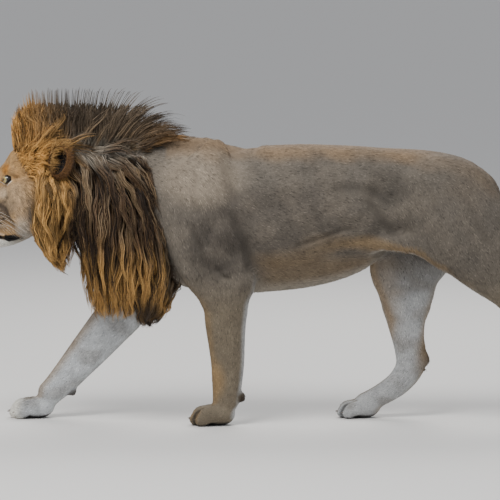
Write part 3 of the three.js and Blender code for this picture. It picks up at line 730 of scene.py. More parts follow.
def eye_frame(side, turned_out=LIDS_OUT):
    """The way out, the line from the inner to the outer corner, and up, for side -1 (left) or 1 (right)."""
    gaze = np.array([-math.cos(turned_out), side * math.sin(turned_out), 0.03])
    gaze = gaze / np.linalg.norm(gaze)
    level = np.array([math.sin(turned_out), side * math.cos(turned_out), 0.0])
    out = math.cos(FISSURE_TILT) * level + math.sin(FISSURE_TILT) * np.array([0, 0, 1.0])
    out = out - (out @ gaze) * gaze
    out = out / np.linalg.norm(out)
    up = np.cross(gaze, out)
    return gaze, out, up * np.sign(up[2])


def almond(p, side):
    """Signed distance from the lid opening, roughly in millimetres, how far out, how high, and how far back."""
    gaze, out, up = eye_frame(side)
    q = p - EYE * (1, side, 1)
    h, v, a = q @ out, q @ up, q @ gaze
    length, top, bottom = FISSURE
    arch = np.where(v > 0, top, bottom) * (1 - np.clip(h / length, -1.6, 1.6) ** 2)
    return (np.abs(v) - arch) * 0.8, a, v, h


# %% Carving the face
NOSTRIL = on_skin([[-1245, -11, 868], [-1242, -20, 874], [-1232, -30, 870], [-1220, -37, 858]])
PHILTRUM = on_skin([[-1250, 0, 858], [-1244, 0, 840], [-1240, 0, 800], [-1228, 0, 768]])
CHEEK_FOLD = on_skin([[-1150, -70, 900], [-1090, -92, 860], [-1064, -100, 810], [-1060, -96, 770]])


def face_relief(p):
    """How far each point of the face moves along its normal: out if positive."""
    f = folded(p)
    move = np.zeros(len(p))
    lips, along = from_line(f, LIP_LINE)
    centre_soft = ramp(np.abs(p[:, 1]), 0, 6)
    order = np.argsort(LIP_LINE[:, 0])
    above = f[:, 2] > np.interp(f[:, 0], LIP_LINE[order, 0], LIP_LINE[order, 2])
    move -= 6.5 * valley(lips, 4.2) * (1 - 0.3 * ramp(along, 0.85, 1))
    move += (1.2 + 2.4 * above) * valley(np.abs(lips - 9), 7)
    move -= 7.0 * valley(from_line(f, NOSTRIL)[0], 7.5) * centre_soft
    move += 2.0 * valley(np.abs(from_line(f, NOSTRIL)[0] - 9), 5) * centre_soft
    move -= 3.2 * valley(from_line(p, PHILTRUM)[0], 4.5)
    fold, fold_along = from_line(f, CHEEK_FOLD)
    move -= 3.0 * valley(fold, 12) * taper(fold_along)
    for row in range(4):  # the low furrows between the whisker rows
        height = 842 - 17 * row
        furrow = [[-1205, -60, height], [-1150, -84, height + 5], [-1100, -92, height + 12]]
        d, along = from_line(f, furrow)
        move -= 1.1 * valley(d, 7) * taper(along)
    alm, a, v, h = almond(f, -1)
    front = ramp(a, 2, 9)
    move += 1.6 * valley(np.abs(alm - 2.2), 2.6) * front  # rolled lid edges
    move += 3.6 * valley(np.abs(alm - 11), 8) * front * (v > 0)  # upper lid's fold
    move -= 2.0 * valley(np.abs(alm - 5.2), 2.6) * front * (v > 0)
    move -= 1.4 * valley(np.abs(alm - 7.5), 4) * front * (v < 0)
    return move


TEAR = [[-1102, -38, 968], [-1118, -33, 950], [-1136, -33, 925], [-1150, -36, 905]]

p, n = points_of(skin.data), normals_of(skin.data)
on_face = p[:, 0] < -990
move = broad_forms(p, n) - muscle_grooves(p, n) + ribs_and_sinews(p, n)
move[on_face] += face_relief(p[on_face])
p += n * move[:, None]
POCKET = 11.0
for side in (-1, 1):
    alm, a, v, h = almond(p, side)
    gaze = eye_frame(side)[0]
    near = (np.linalg.norm(p - EYE * (1, side, 1), axis=1) < 34) & (a > 0)
    p -= gaze * (POCKET * ramp(-alm, -0.2, 1.0) * near)[:, None]
place(skin.data, p)
print("deepest groove, mm:", round(float(-move.min()), 1))

# %% [markdown]
# ## Unwrap of the skin
# Each tuft of the coat gets one small patch at its root's place on the skin's unwrap, so the
# skin is unwrapped now, once its shape is final. The map is cut by angle, which needs no drawn seams.

# %% Unwrap
BAKE_MAP = "OFBake"


def unwrap(piece):
    if BAKE_MAP not in piece.data.uv_layers:
        piece.data.uv_layers.new(name=BAKE_MAP)
    bpy.ops.object.select_all(action="DESELECT")
    piece.select_set(True)
    bpy.context.view_layer.objects.active = piece
    bpy.ops.object.mode_set(mode="EDIT")
    bpy.ops.mesh.select_all(action="SELECT")
    bpy.ops.uv.smart_project(angle_limit=math.radians(66), island_margin=0.002)
    bpy.ops.object.mode_set(mode="OBJECT")


unwrap(skin)
print("skin unwrapped")


# %% Triangles of a skin, as the coat needs them
def surface_of(piece, field=None):
    """Corners, normals and mean map place of each triangle of a piece."""
    mesh = piece.data
    mesh.calc_loop_triangles()
    count = len(mesh.loop_triangles)
    corners, loops = np.empty(count * 3, np.int32), np.empty(count * 3, np.int32)
    mesh.loop_triangles.foreach_get("vertices", corners)
    mesh.loop_triangles.foreach_get("loops", loops)
    uv = np.empty(len(mesh.loops) * 2, np.float32)
    mesh.uv_layers[BAKE_MAP].data.foreach_get("uv", uv)
    points, normals = points_of(mesh), normals_of(mesh)
    tri, loops = corners.reshape(-1, 3), loops.reshape(-1, 3)
    a, b, c = points[tri[:, 0]], points[tri[:, 1]], points[tri[:, 2]]
    return {
        "corners": points[tri], "normals": normals[tri], "uv": uv.reshape(-1, 2)[loops],
        "area": np.linalg.norm(np.cross(b - a, c - a), axis=1) / 2, "middle": (a + b + c) / 3,
    }


def scatter(surface, density, count):
    """count roots on a surface, evenly for the density at each triangle: places, normals, map places."""
    weight = surface["area"] * density
    ends = np.cumsum(weight)
    at = (np.arange(count) + rng.random(count)) / count * ends[-1]
    chosen = np.minimum(np.searchsorted(ends, at), len(weight) - 1)
    u, v = rng.random(count), rng.random(count)
    fold = u + v > 1
    u[fold], v[fold] = 1 - u[fold], 1 - v[fold]
    share = np.stack([1 - u - v, u, v], axis=1)
    return (
        np.einsum("nk,nkd->nd", share, surface["corners"][chosen]),
        unit(np.einsum("nk,nkd->nd", share, surface["normals"][chosen])),
        np.einsum("nk,nkd->nd", share, surface["uv"][chosen]),
    )


skin_surface = surface_of(skin)

# %% [markdown]
# ## Markings
# One function gives the colour of the coat at any point of the body, and both the skin and the tufts ask
# it, so they can't disagree. A lion is taupe to tan with a warmer back, ochre along the belly's edge and
# the fronts of the forelegs, cream on the inner legs, chin and throat, and black at the lips, the rims of
# the eyes, the pads and the backs of the ears. The same colours also carry painted shade on the flanks and
# upper arms, in the muscle grooves, hollows, toe clefts, the cheek fold and under the jaw, and painted
# light on the swells and the tops of the shoulders. Painting by hand in texture mode would tie it to one mesh.


# %% Colours
def linear(code):
    """A colour written as in paint programs, such as 0x8f7b5f, as linear red, green and blue."""
    c = np.array([code >> 16 & 255, code >> 8 & 255, code & 255]) / 255
    return np.where(c <= 0.04045, c / 12.92, ((c + 0.055) / 1.055) ** 2.4)


TAUPE = linear(0x686158)
TAUPE_DARK = linear(0x4C453E)
BACK_TAN = linear(0x8D765C)
SHOULDER_TAN = linear(0x978A79)
OCHRE = linear(0x8C7350)
CREAM = linear(0xB6B9BB)
BELLY_WHITE = linear(0x9C958A)
LEG_TAN = linear(0x706553)
FACE_TAN = linear(0xAE8A5C)
FACE_GREY = linear(0xB4A48E)
FACE_ORANGE = linear(0xB0762E)
PAD_TAN = linear(0x84705A)
CHIN_WHITE = linear(0xD9D6CD)
CHEEK_SHADE = linear(0x5A5046)
SPOT = linear(0x2B211A)
BLACK = linear(0x0F0C0B)
NOSE_PINK = linear(0x3A2823)


def blend_in(base, colour, mask):
    return base + (np.asarray(colour) - base) * np.clip(mask, 0, 1)[:, None]


def patch(p, centre, half, soft=0.35):
    """1 inside an ellipsoid, fading to 0 across its soft edge."""
    k = np.linalg.norm((p - np.array(centre)) / np.array(half), axis=1)
    return 1 - ramp(k, 1 - soft, 1 + soft)


def waves(p, scale, seed):
    """A smooth, cloudy value from -1 to 1, from a few turned sine waves."""
    r = np.random.default_rng(seed)
    total = np.zeros(len(p))
    for _ in range(6):
        way = unit(r.normal(size=3)) * 2 * math.pi / (scale * r.uniform(0.7, 1.5))
        total += np.sin(p @ way + r.uniform(0, 6.3))
    return np.clip(total / 3, -1, 1)


# %% Markings of the body and legs
FLANK_EDGE = [
    [-72, 0, 650], [80, 0, 696], [240, 0, 728], [352, 0, 722], [480, 0, 706], [560, 0, 684], [640, 0, 622],
    [740, 0, 540],
]


BACK_LINE = np.array([[-460, 1130], [-300, 1130], [-60, 1112], [300, 1114], [500, 1102], [640, 1080], [760, 1030], [840, 950]])


def body_tone(p, n):
    x, y, z = p.T
    tone = np.tile(TAUPE, (len(p), 1))
    side_view = p * (1, 0, 1)
    # Painted shade on the sides of the flank.
    tone = blend_in(tone, TAUPE_DARK, 0.42 * patch(side_view, (20, 0, 800), (340, 1, 150)) * ramp(np.abs(n[:, 1]), 0, 0.4))
    tone = blend_in(tone, TAUPE_DARK, 0.2 * ramp(waves(p, 240, 3), -0.2, 0.9))
    tone = blend_in(tone, SHOULDER_TAN, 0.12 * ramp(waves(p, 150, 4), -0.2, 0.9))
    # Painted shade over the upper arms, below the shoulders.
    painted_arm_shade = patch(side_view, (-250, 0, 730), (100, 1, 140), 0.6) * (np.abs(y) > 120)
    tone = blend_in(tone, TAUPE_DARK * 0.62, 0.75 * painted_arm_shade * (0.6 + 0.4 * waves(p, 70, 9)))
    # Painted light on the tops of both shoulders.
    tone = blend_in(tone, SHOULDER_TAN, 0.75 * patch(p, (-320, -150, 1000), (150, 120, 130)))
    tone = blend_in(tone, SHOULDER_TAN, 0.75 * patch(p, (-360, 150, 1000), (150, 120, 130)))
    below_top = np.interp(x, BACK_LINE[:, 0], BACK_LINE[:, 1]) - z
    back = ramp(-below_top - 16 * waves(p, 120, 12), -80, -5) * (x > -460) * (1 - 0.75 * ramp(x, 480, 700))
    tone = blend_in(tone, BACK_TAN * 0.94, 0.85 * back)
    fold, along = from_line(side_view, FLANK_EDGE)
    band = valley(fold + 14 * waves(p, 90, 6), 30 + 30 * ramp(1 - along, 0.2, 0.8)) * ramp(np.abs(n[:, 1]), 0.0, 0.4)
    tone = blend_in(tone, OCHRE, (0.25 + 0.35 * ramp(along, 0.1, 0.5)) * band)
    brown_belly = ramp(-z, -700, -640) * ramp(x, -110, -20) * ramp(-x, -460, -300) * (z > 480)
    tone = blend_in(tone, OCHRE * 0.72, 0.45 * brown_belly)
    under = ramp(-n[:, 2], 0.62, 0.9) * (z > 480) * (x > -430)
    tone = blend_in(tone, BELLY_WHITE, 0.85 * under)
    tone = blend_in(tone, BACK_TAN, 0.2 * patch(p, (740, 0, 940), (160, 180, 130)))
    tone = tone * (1 - 0.16 * ramp(x, 420, 640) * ramp(-z, -1060, -960) * (z > 560))[:, None]
    # Painted shade in the muscle grooves and hollows, painted light on the swells.
    painted_shading = 0.86 + 0.026 * broad_forms(p, n) - 0.03 * muscle_grooves(p, n)
    return tone * np.clip(painted_shading, 0.3, 1.2)[:, None]


def toe_gaps(p):
    """1 in the three clefts between the toes of each paw."""
    gap = np.zeros(len(p))
    for heel, y, (length, width, height) in PAWS:
        on_paw = (p[:, 0] < heel - 0.52 * length) & (p[:, 0] > heel - 1.2 * length) & (p[:, 2] < height * 1.1)
        for share in (-0.25, 0.0, 0.25):
            cleft = valley(np.abs(p[:, 1] - y - share * width), 5) * on_paw
            gap = np.maximum(gap, cleft * (np.abs(p[:, 1] - y) < width))
    return gap


def leg_tone(p, n, tone):
    x, y, z = p.T
    side_view = p * (1, 0, 1)
    low = ramp(-z, -640, -440) * (x > -1050)
    tone = blend_in(tone, LEG_TAN, 0.7 * low)
    side = np.sign(y)
    inner = ramp(-n[:, 1] * side, 0.0, 0.55) * ramp(-z, -760, -640) * (np.abs(y) > 8) * (1 - (y < -60) * (z > 640))
    tone = blend_in(tone, CREAM, 0.95 * inner)
    far_hind = (y > 0) & (x > 250) & (x < 760)
    shaded_thigh = inner * (y > 0) * (x > 250) * ramp(z, 470, 640)
    tone = blend_in(tone, TAUPE_DARK, 0.62 * shaded_thigh)
    tone = blend_in(tone, TAUPE, 0.4 * inner * ramp(waves(p, 110, 8), -0.1, 0.8))
    tone = blend_in(tone, TAUPE, 0.34 * inner * far_hind)
    tone = blend_in(tone, OCHRE, 0.55 * low * ramp(-n[:, 0], 0.4 - 0.2 * (y > 0), 0.85 - 0.2 * (y > 0)) * (x < 0))
    tone = blend_in(tone, CREAM * 1.08, 0.5 * low * ramp(-n[:, 0], 0.5, 0.85) * far_hind)
    tone = blend_in(tone, OCHRE, 0.4 * low * ramp(n[:, 0], 0.4, 0.85) * far_hind)
    tone = blend_in(tone, CREAM, 0.6 * low * ramp(n[:, 0], 0.6, 0.92) * (x < 0))
    tone = blend_in(tone, OCHRE, 0.8 * patch(p, (-256, -128, 186), (36, 60, 70), 0.6))
    tone = blend_in(tone, OCHRE * 0.55, 0.85 * patch(p, (584, 112, 262), (40, 60, 74), 0.7))
    front_edge = from_line(side_view, [[350, 0, 690], [374, 0, 580], [416, 0, 480], [446, 0, 400], [440, 0, 330]])[0]
    tone = blend_in(tone, OCHRE, 0.6 * valley(front_edge, 34) * far_hind)
    # Painted shade at the top of the far hind leg's inner side, under the belly.
    tone = blend_in(tone, TAUPE_DARK, 0.7 * inner * far_hind * ramp(z, 600, 690))
    tone = blend_in(tone, OCHRE, 0.4 * inner * (x > 250) * patch(p, (420, 100, 480), (60, 90, 170), 0.8))
    # Painted shade in the clefts between the toes.
    toe_gap = toe_gaps(p)
    tone = tone * (1 - 0.75 * toe_gap)[:, None]
    # Painted shade in patches over the near foreleg's triceps and behind its elbow.
    for spot in ((-240, -200, 725, 60), (-190, -200, 745, 40), (-300, -190, 640, 60), (-250, -200, 650, 44),
                 (-346, -190, 700, 40), (-146, -168, 566, 30)):
        tone = blend_in(tone, TAUPE_DARK * 0.5, 0.42 * patch(p, spot[:3], (spot[3] * 0.8, 90, spot[3]), 0.8))
    tone = blend_in(tone, SPOT, 0.9 * patch(p, (-150, -112, 108), (26, 26, 26), 0.4))
    tone = blend_in(tone, SPOT, 0.9 * patch(p, (-836, 112, 100), (28, 26, 26), 0.4))
    tone = blend_in(tone, SPOT, 0.7 * patch(p, (1160, -112, 330), (30, 22, 50), 0.5))
    tone = blend_in(tone, SPOT, 0.7 * patch(p, (600, 112, 230), (30, 22, 46), 0.5))
    sole = ramp(-n[:, 2], 0.5, 0.9) * ramp(-z, -26, -12)
    return blend_in(tone, BLACK, sole)


# %% Markings of the face
WHISKER_ROWS = [  # height at the front, places along the row
    (846, (-1196, -1176, -1154, -1134)),
    (829, (-1202, -1182, -1160, -1138, -1116)),
    (812, (-1204, -1184, -1162, -1140, -1118, -1098)),
    (795, (-1198, -1178, -1156, -1134, -1112)),
]


def whisker_roots():
    """The places of the whisker spots, on the left side, on the skin."""
    guess = [[x, -95.0, z + 0.1 * (x + 1200)] for z, xs in WHISKER_ROWS for x in xs]
    p = np.array(guess)
    for _ in range(30):
        value = flesh_field(p)
        p[:, 1] += np.clip(value + 3, -6, 6)
    return p


WHISKER_ROOTS = whisker_roots()


FLECKS = [(-1088, -90, 906), (-1056, -96, 890), (-1046, -98, 874), (-1030, -98, 868), (-1096, -84, 890), (-1020, -96, 940)]


def face_tone(p, n, tone):
    f = folded(p)
    x, y, z = f.T
    on_head = ramp(-x, 900, 960) * ramp(z, 640, 690)
    tone = blend_in(tone, FACE_TAN, on_head)
    tone = blend_in(tone, FACE_GREY, 0.45 * patch(f, (-1040, -100, 905), (66, 60, 70), 0.6))
    tone = blend_in(tone, FACE_GREY, 0.6 * patch(f, (-1098, -62, 925), (40, 34, 26), 0.5))
    tone = blend_in(tone, FACE_ORANGE, 0.9 * patch(f, (-1092, -50, 1016), (17, 40, 22), 0.5))
    tone = blend_in(tone, FACE_ORANGE, 0.3 * patch(f, (-1160, 0, 935), (60, 26, 50), 0.5))
    tone = blend_in(tone, PAD_TAN, 0.9 * patch(f, (-1150, -60, 830), (92, 60, 66), 0.4))
    # Painted shade behind the whisker pads, at the cheek fold.
    tone = blend_in(tone, CHEEK_SHADE, 0.75 * patch(f, (-1092, -70, 862), (40, 60, 40), 0.7))
    tone = blend_in(tone, FACE_TAN, 0.5 * patch(f, (-1120, -70, 800), (50, 60, 16), 0.7))
    tone = tone * (1 + on_head * (0.13 * waves(p * (1.6, 1, 0.8), 15, 41) + 0.1 * waves(p * (1.5, 1, 0.7), 40, 42)))[:, None]
    # Painted shade between the cheek and the ruff.
    tone = blend_in(tone, CHEEK_SHADE, 0.95 * patch(f, (-990, -100, 846), (24, 70, 66), 0.7))
    tone = blend_in(tone, CHIN_WHITE * 0.7, 0.6 * patch(f, (-1026, -100, 792), (26, 50, 46), 0.7))
    tone = blend_in(tone, CHEEK_SHADE, 0.25 * ramp(waves(p * (1, 1, 0.5), 20, 17), 0.0, 0.9) * on_head * (x > -1110))
    for fleck in FLECKS:
        tone = blend_in(tone, SPOT, 0.6 * patch(f, fleck, (8, 20, 7), 0.8))
    lip_height = np.interp(x, LIP_LINE[:, 0], LIP_LINE[:, 2])
    below_lip = ramp(lip_height - z, 2, 12) * ramp(-x, 1010, 1070)
    tone = blend_in(tone, CHIN_WHITE, below_lip)
    # Painted shade under the rear of the jaw.
    tone = blend_in(tone, CHEEK_SHADE, 0.6 * patch(f, (-1020, -60, 742), (56, 90, 34), 0.6))
    tone = blend_in(tone, CHIN_WHITE * 0.8, 0.45 * valley(np.abs(z - lip_height - 12), 8) * ramp(-x, 1080, 1130))
    tone = blend_in(tone, CHIN_WHITE * 0.6, 0.5 * ramp(-n[:, 2], 0.4, 0.9) * on_head * (z < 800))
    for row, (height, places) in enumerate(WHISKER_ROWS):
        row_line = valley(np.abs(z - height - 0.1 * (x + 1200) - 3 * waves(p, 40, 30 + row)), 4.5)
        tone = blend_in(tone, SPOT, 0.8 * row_line * patch(f, (-1150, -70, height), (68, 60, 20), 0.4))
    for spot in WHISKER_ROOTS:
        tone = blend_in(tone, SPOT, 0.85 * patch(f, spot, (8, 9, 4.4), 0.6))
    # Painted shade in the crease of the cheek fold.
    fold, along = from_line(f, CHEEK_FOLD)
    tone = blend_in(tone, SPOT, 0.7 * valley(fold - 4, 13) * taper(along))
    lips, along = from_line(f, LIP_LINE)
    lip_width = 4 + 8.5 * ramp(along, 0.64, 0.82) - 4 * ramp(along, 0.92, 1) + 3 * waves(p, 22, 19)
    tone = blend_in(tone, BLACK, (1 - ramp(lips, lip_width - 1, lip_width + 6)) * (along > 0.02))
    nose = patch(p, (-1236, 0, 872), (30, 40, 29), 0.1)
    tone = blend_in(tone, NOSE_PINK, nose)
    tone = blend_in(tone, BLACK, 0.8 * nose * ramp(waves(p, 16, 5), -0.2, 0.6))
    tone = blend_in(tone, BLACK, ramp(valley(from_line(p, PHILTRUM)[0], 6), 0.2, 0.7))
    tone = blend_in(tone, BLACK, 0.8 * valley(from_line(f, NOSTRIL)[0], 9))
    alm, a, v, h = almond(f, -1)
    near_eye = (a > 0) * (np.linalg.norm(f - LEFT_EYE, axis=1) < 44)
    tone = blend_in(tone, CHIN_WHITE, 0.85 * valley(np.abs(alm - 11), 4.5) * (v < 2) * near_eye)
    reach = 4.0 + 3.5 * ramp(h, 4, 16)
    tone = blend_in(tone, BLACK, (1 - ramp(alm, reach, reach + 3)) * near_eye)
    tear, along = from_line(f, TEAR)
    return blend_in(tone, BLACK, 0.8 * ramp(valley(tear, 9), 0.15, 0.6) * (1 - ramp(along, 0.05, 0.35)))


TAIL_DARK = linear(0x231A14)


def coat_tone(p, n):
    """The colour of the coat at points p, where the skin faces n, with painted shade and painted light."""
    tone = leg_tone(p, n, body_tone(p, n))
    tone = face_tone(p, n, tone)
    tail_end = ramp(p[:, 0], 1080, 1140) * (p[:, 1] > -40) * ramp(-p[:, 2], -420, -330)
    return blend_in(tone, TAIL_DARK, tail_end)


def bare(p):
    """1 where the skin is wet or naked: nose, lips, lid rims and pads."""
    f = folded(p)
    nose = patch(p, (-1236, 0, 872), (30, 40, 29), 0.1)
    lips = ramp(valley(from_line(f, LIP_LINE)[0], 9), 0.3, 0.6)
    alm, a, v, h = almond(f, -1)
    rim = (1 - ramp(alm, 2.0, 5.0)) * (a > 0) * (np.linalg.norm(f - LEFT_EYE, axis=1) < 40)
    sole = ramp(-p[:, 2], -12, -4)
    return np.clip(nose + lips + rim + sole, 0, 1)


# %% Where the mane grows
FACE_EDGE = np.array([  # height and x of the line where the face's short coat ends
    [640, -925], [700, -950], [780, -980], [860, -968], [930, -970], [980, -984], [1020, -1012], [1060, -1042],
    [1100, -1050], [1150, -1052],
])


def mane_hold(p):
    """1 where the mane grows on the skin."""
    behind_face = ramp(p[:, 0] - np.interp(p[:, 2], FACE_EDGE[:, 0], FACE_EDGE[:, 1]), -4, 10)
    inside = np.maximum(ramp(-mane_field(p), 6, 26), p[:, 0] < -930)
    tuft = patch(p, (-520, 110, 480), (56, 60, 60), 0.2)
    return np.maximum(behind_face * inside * (p[:, 0] < -360) * (p[:, 2] > 560), 4 * tuft)


def crest_share(p):
    """1 on the top line of the head and neck, where hair stands up."""
    return ramp(p[:, 2], 1050, 1092) * ramp(-np.abs(p[:, 1]), -84, -52)


# %% Paint the skin
def paint(mesh, name, values):
    """Stores one colour, or one number, for each vertex."""
    if values.ndim == 2:
        rgba = np.hstack([values, np.ones((len(values), 1))])
        layer = mesh.attributes.new(name, "FLOAT_COLOR", "POINT")
        layer.data.foreach_set("color", rgba.astype(np.float32).ravel())
    else:
        layer = mesh.attributes.new(name, "FLOAT", "POINT")
        layer.data.foreach_set("value", values.astype(np.float32))


# Colours of the skin under the mane: the undercoat's dark brown deepened as painted shade of the mane's depth, golden
# brown under the ruff, light at the parting.
UNDERCOAT_AND_SHADE = linear(0x33271D)
UNDER_FACE = linear(0x7A5B36)
UNDER_PART = linear(0xA0968A)
p, n = points_of(skin.data), normals_of(skin.data)
skin_tone = coat_tone(p, n)
under_mane = mane_hold(p)
# The skin under the mane is painted dark: the undercoat's brown with painted shade of the mane's depth.
under = blend_in(np.tile(UNDERCOAT_AND_SHADE, (len(p), 1)), UNDER_FACE, ramp(-p[:, 0], 900, 970))
under = blend_in(under, UNDER_PART, ramp(p[:, 2], 1030, 1090) * ramp(p[:, 0], -880, -800))
paint(skin.data, "tone", blend_in(skin_tone, under, np.minimum(under_mane, 1)))
paint(skin.data, "bare", bare(p))
print("painted", len(p), "vertices")

# %% [markdown]
# ## Eyes
# A big cat's eye is a ball with a clear bulge in front, a round pupil and an amber iris, set under heavy
# lids. A sphere is turned so that one pole looks along the gaze, the pole's cap is raised into the cornea,
# and the iris is painted by angle from the pole. Separate glass over an iris disc would look deeper, but it
# is lost in an export that bakes colours.

# %% Eyeballs
IRIS_ANGLE = math.radians(42)
BULGE = 1.5


def eyeball(name, node, side):
    gaze, out, up = eye_frame(side, GAZE_OUT)
    bm = bmesh.new()
    bmesh.ops.create_uvsphere(bm, u_segments=48, v_segments=40, radius=1)
    turn = np.stack([out * 1.0, np.cross(gaze, out), gaze], axis=1)
    for v in bm.verts:
        angle = math.acos(max(-1, min(1, v.co.z)))
        lift = BULGE * max(0, 1 - (angle / IRIS_ANGLE) ** 2)
        place_mm = EYE * (1, side, 1) + turn @ np.array(v.co) * (EYE_RADIUS - 0.6 + lift)
        v.co = metres(place_mm)
    bmesh.ops.recalc_face_normals(bm, faces=bm.faces)
    globe = finish_mesh(name, bm)
    q = unit(points_of(globe.data) - EYE * (1, side, 1))
    angle = np.arccos(np.clip(q @ gaze, -1, 1)) / IRIS_ANGLE
    paint(globe.data, "from_pupil", angle)
    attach(globe, "root")
    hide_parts(node)
    return globe


eyes = [eyeball("eyeball_left", "eye_left", -1), eyeball("eyeball_right", "eye_right", 1)]
print("eyes:", [len(e.data.polygons) for e in eyes])

# %% [markdown]
# ## Ears
# A lion's ear is a round, deep cup of thin gristle, fur outside and nearly bare within, where the lining
# is painted near-black as painted shade in the hollow. A sphere gives both walls: rings near one pole stay
# outside, the rest are drawn back through the opening to line the cup, so the wall is closed all round.
# Cutting a hollow with a boolean would leave a rough rim.

# %% Ear cups
EAR_PLACE = np.array([-872.0, 146.0, 1054.0])
EAR_HALF = np.array([40.0, 51.0, 63.0])
EAR_LEAN, EAR_TURN = math.radians(14), math.radians(52)
RIM_ANGLE = math.radians(112)
WALL = 4.5


def ear_turn(side):
    """Axes of an ear: back of the cup, across and up, as the columns of a turn."""
    lean = np.array([
        [math.cos(EAR_LEAN), 0, math.sin(EAR_LEAN)], [0, 1, 0], [-math.sin(EAR_LEAN), 0, math.cos(EAR_LEAN)],
    ])
    a = -side * EAR_TURN
    turn = np.array([[math.cos(a), -math.sin(a), 0], [math.sin(a), math.cos(a), 0], [0, 0, 1]])
    return turn @ lean


def ear_cup(name, node, side):
    bm = bmesh.new()
    bmesh.ops.create_uvsphere(bm, u_segments=56, v_segments=48, radius=1)
    turn, inside = ear_turn(side), []
    for v in bm.verts:
        angle = math.acos(max(-1, min(1, -v.co.z)))  # from the back pole
        around = math.atan2(v.co.y, v.co.x)
        lining = angle > math.pi / 2
        along = (math.pi - angle if lining else angle) / (math.pi / 2) * RIM_ANGLE
        wall = WALL * (0.5 + 0.5 * math.cos(along * 0.8)) if lining else 0
        size = EAR_HALF - wall
        crimp = 1 + 0.03 * math.sin(3 * around) * math.sin(along) ** 2
        q = np.array([
            math.cos(along) * size[0], math.sin(along) * math.cos(around) * size[1] * crimp,
            math.sin(along) * math.sin(around) * size[2] * crimp,
        ])
        if lining:  # the fold of gristle at the cup's floor
            q[0] -= 6 * math.exp(-((q[1] * side + 10) / 9) ** 2) * max(0, math.cos(along))
        v.co = metres(EAR_PLACE * (1, side, 1) + turn @ q)
        inside.append(float(lining) * min(1, (RIM_ANGLE - along) / 0.3))
    bmesh.ops.recalc_face_normals(bm, faces=bm.faces)
    cup = finish_mesh(name, bm)
    unwrap(cup)
    inside = np.array(inside)
    p, n = points_of(cup.data), normals_of(cup.data)
    local = (p - EAR_PLACE * (1, side, 1)) @ turn
    tone = np.tile(linear(0x6B4A2A), (len(p), 1))
    tone = blend_in(tone, BLACK, ramp(local[:, 0], 14, 30) * (1 - inside) * ramp(local[:, 2], -30, 0))
    # The lining is painted near-black: painted shade deep in the cup.
    paint(cup.data, "tone", blend_in(tone, linear(0x0C0908), inside))
    paint(cup.data, "inside", inside)
    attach(cup, "root")
    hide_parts(node)
    return cup


ears = {-1: ear_cup("ear_cup_left", "ear_left", -1), 1: ear_cup("ear_cup_right", "ear_right", 1)}
print("ears:", [len(e.data.polygons) for e in ears.values()])

# %% [markdown]
# ## The lie of the coat
# Hair on a lion runs back from the nose, back and down over the trunk and down the legs. It is given here
# as strokes of a comb: a place in the side view and the way the hair points there. Anywhere else the
# nearer strokes count more. The same tool combs the mane, with strokes of its own.


# %% Comb
def comb(p, strokes, reach=110.0):
    """The way of the hair at points p, from strokes of [x, z, angle], 0 degrees back and 90 up."""
    way = np.zeros((len(p), 3))
    for x, z, angle in strokes:
        near = 1 / (1 + ((p[:, 0] - x) ** 2 + (p[:, 2] - z) ** 2) / reach ** 2) ** 3
        way[:, 0] += near * math.cos(math.radians(angle))
        way[:, 2] += near * math.sin(math.radians(angle))
    return unit(way)


COAT_STROKES = [
    [-1215, 880, 60], [-1180, 930, 45], [-1120, 990, 35], [-1050, 1080, 30], [-960, 1120, 10],
    [-1190, 810, -20], [-1120, 860, -15], [-1060, 900, -45], [-1010, 960, -50], [-1000, 860, -78],
    [-1160, 720, -10], [-1080, 730, -20], [-1000, 760, -40],
    [-380, 1090, -20], [-300, 1000, -50], [-320, 860, -68], [-300, 740, -80], [-250, 620, -80],
    [-150, 1050, -12], [-80, 900, -28], [-60, 740, -22], [0, 1080, -4], [150, 1080, -3], [150, 900, -16],
    [150, 720, -8], [350, 1060, -6], [380, 900, -30], [330, 760, -10], [520, 1060, -12], [520, 900, -52],
    [520, 740, -66], [650, 1020, -30], [700, 880, -60], [790, 960, -50], [820, 760, -58], [900, 650, -55],
    [1010, 480, -58], [1110, 280, -70], [1170, 120, -110], [1130, 40, 180], [1060, 40, 180],
    [510, 500, -85], [525, 300, -80], [480, 150, -140], [380, 80, -170], [310, 40, 178],
    [-220, 450, -88], [-212, 250, -90], [-212, 130, -95], [-280, 60, -172], [-330, 40, 178],
    [-590, 560, -110], [-680, 380, -130], [-800, 240, -134], [-920, 110, -140], [-1010, 60, -172],
    [-1060, 40, 178], [900, 780, -75], [930, 690, -72],
]


def along_skin(way, n):
    """Lays a direction on the surface, and gives hair on surfaces that face it a way out."""
    flat = way - n * np.sum(way * n, axis=1, keepdims=True)
    return unit(flat + 0.02 * np.array([0.3, 0.0, -1.0]))


# %% [markdown]
# ## Short coat
# The coat lies flat, so most of it is fine relief in the skin's finish, and tufts carry what breaks the
# form. A tuft is a slim closed spindle of six triangles: a root under the skin, a belly and a tip that
# stands off a little. Thousands are joined into one mesh for each part of the body. Particle hair would be
# easier, but it is no mesh, and nothing of it is left when the model is exported.

# %% Tufts
PATCH = 0.003


def joined_mesh(name, points, faces, uv, tones, node=None, slot="coat", smooth=True):
    """One object from arrays: points in the body's frame, triangles, a map place and colour per point."""
    mesh = bpy.data.meshes.new(name)
    mesh.vertices.add(len(points))
    mesh.vertices.foreach_set("co", metres(points).astype(np.float32).ravel())
    mesh.loops.add(faces.size)
    mesh.loops.foreach_set("vertex_index", faces.astype(np.int32).ravel())
    mesh.polygons.add(len(faces))
    mesh.polygons.foreach_set("loop_start", np.arange(0, faces.size, 3, dtype=np.int32))
    mesh.update(calc_edges=True)
    layer = mesh.uv_layers.new(name=BAKE_MAP)
    layer.data.foreach_set("uv", uv[faces.ravel()].astype(np.float32).ravel())
    piece = finish_mesh(name, mesh, smooth)
    paint(mesh, "tone", tones)
    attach(piece, "root")
    if node:
        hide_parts(*([node] if isinstance(node, str) else node))
    print(name, len(faces), "triangles")
    return piece


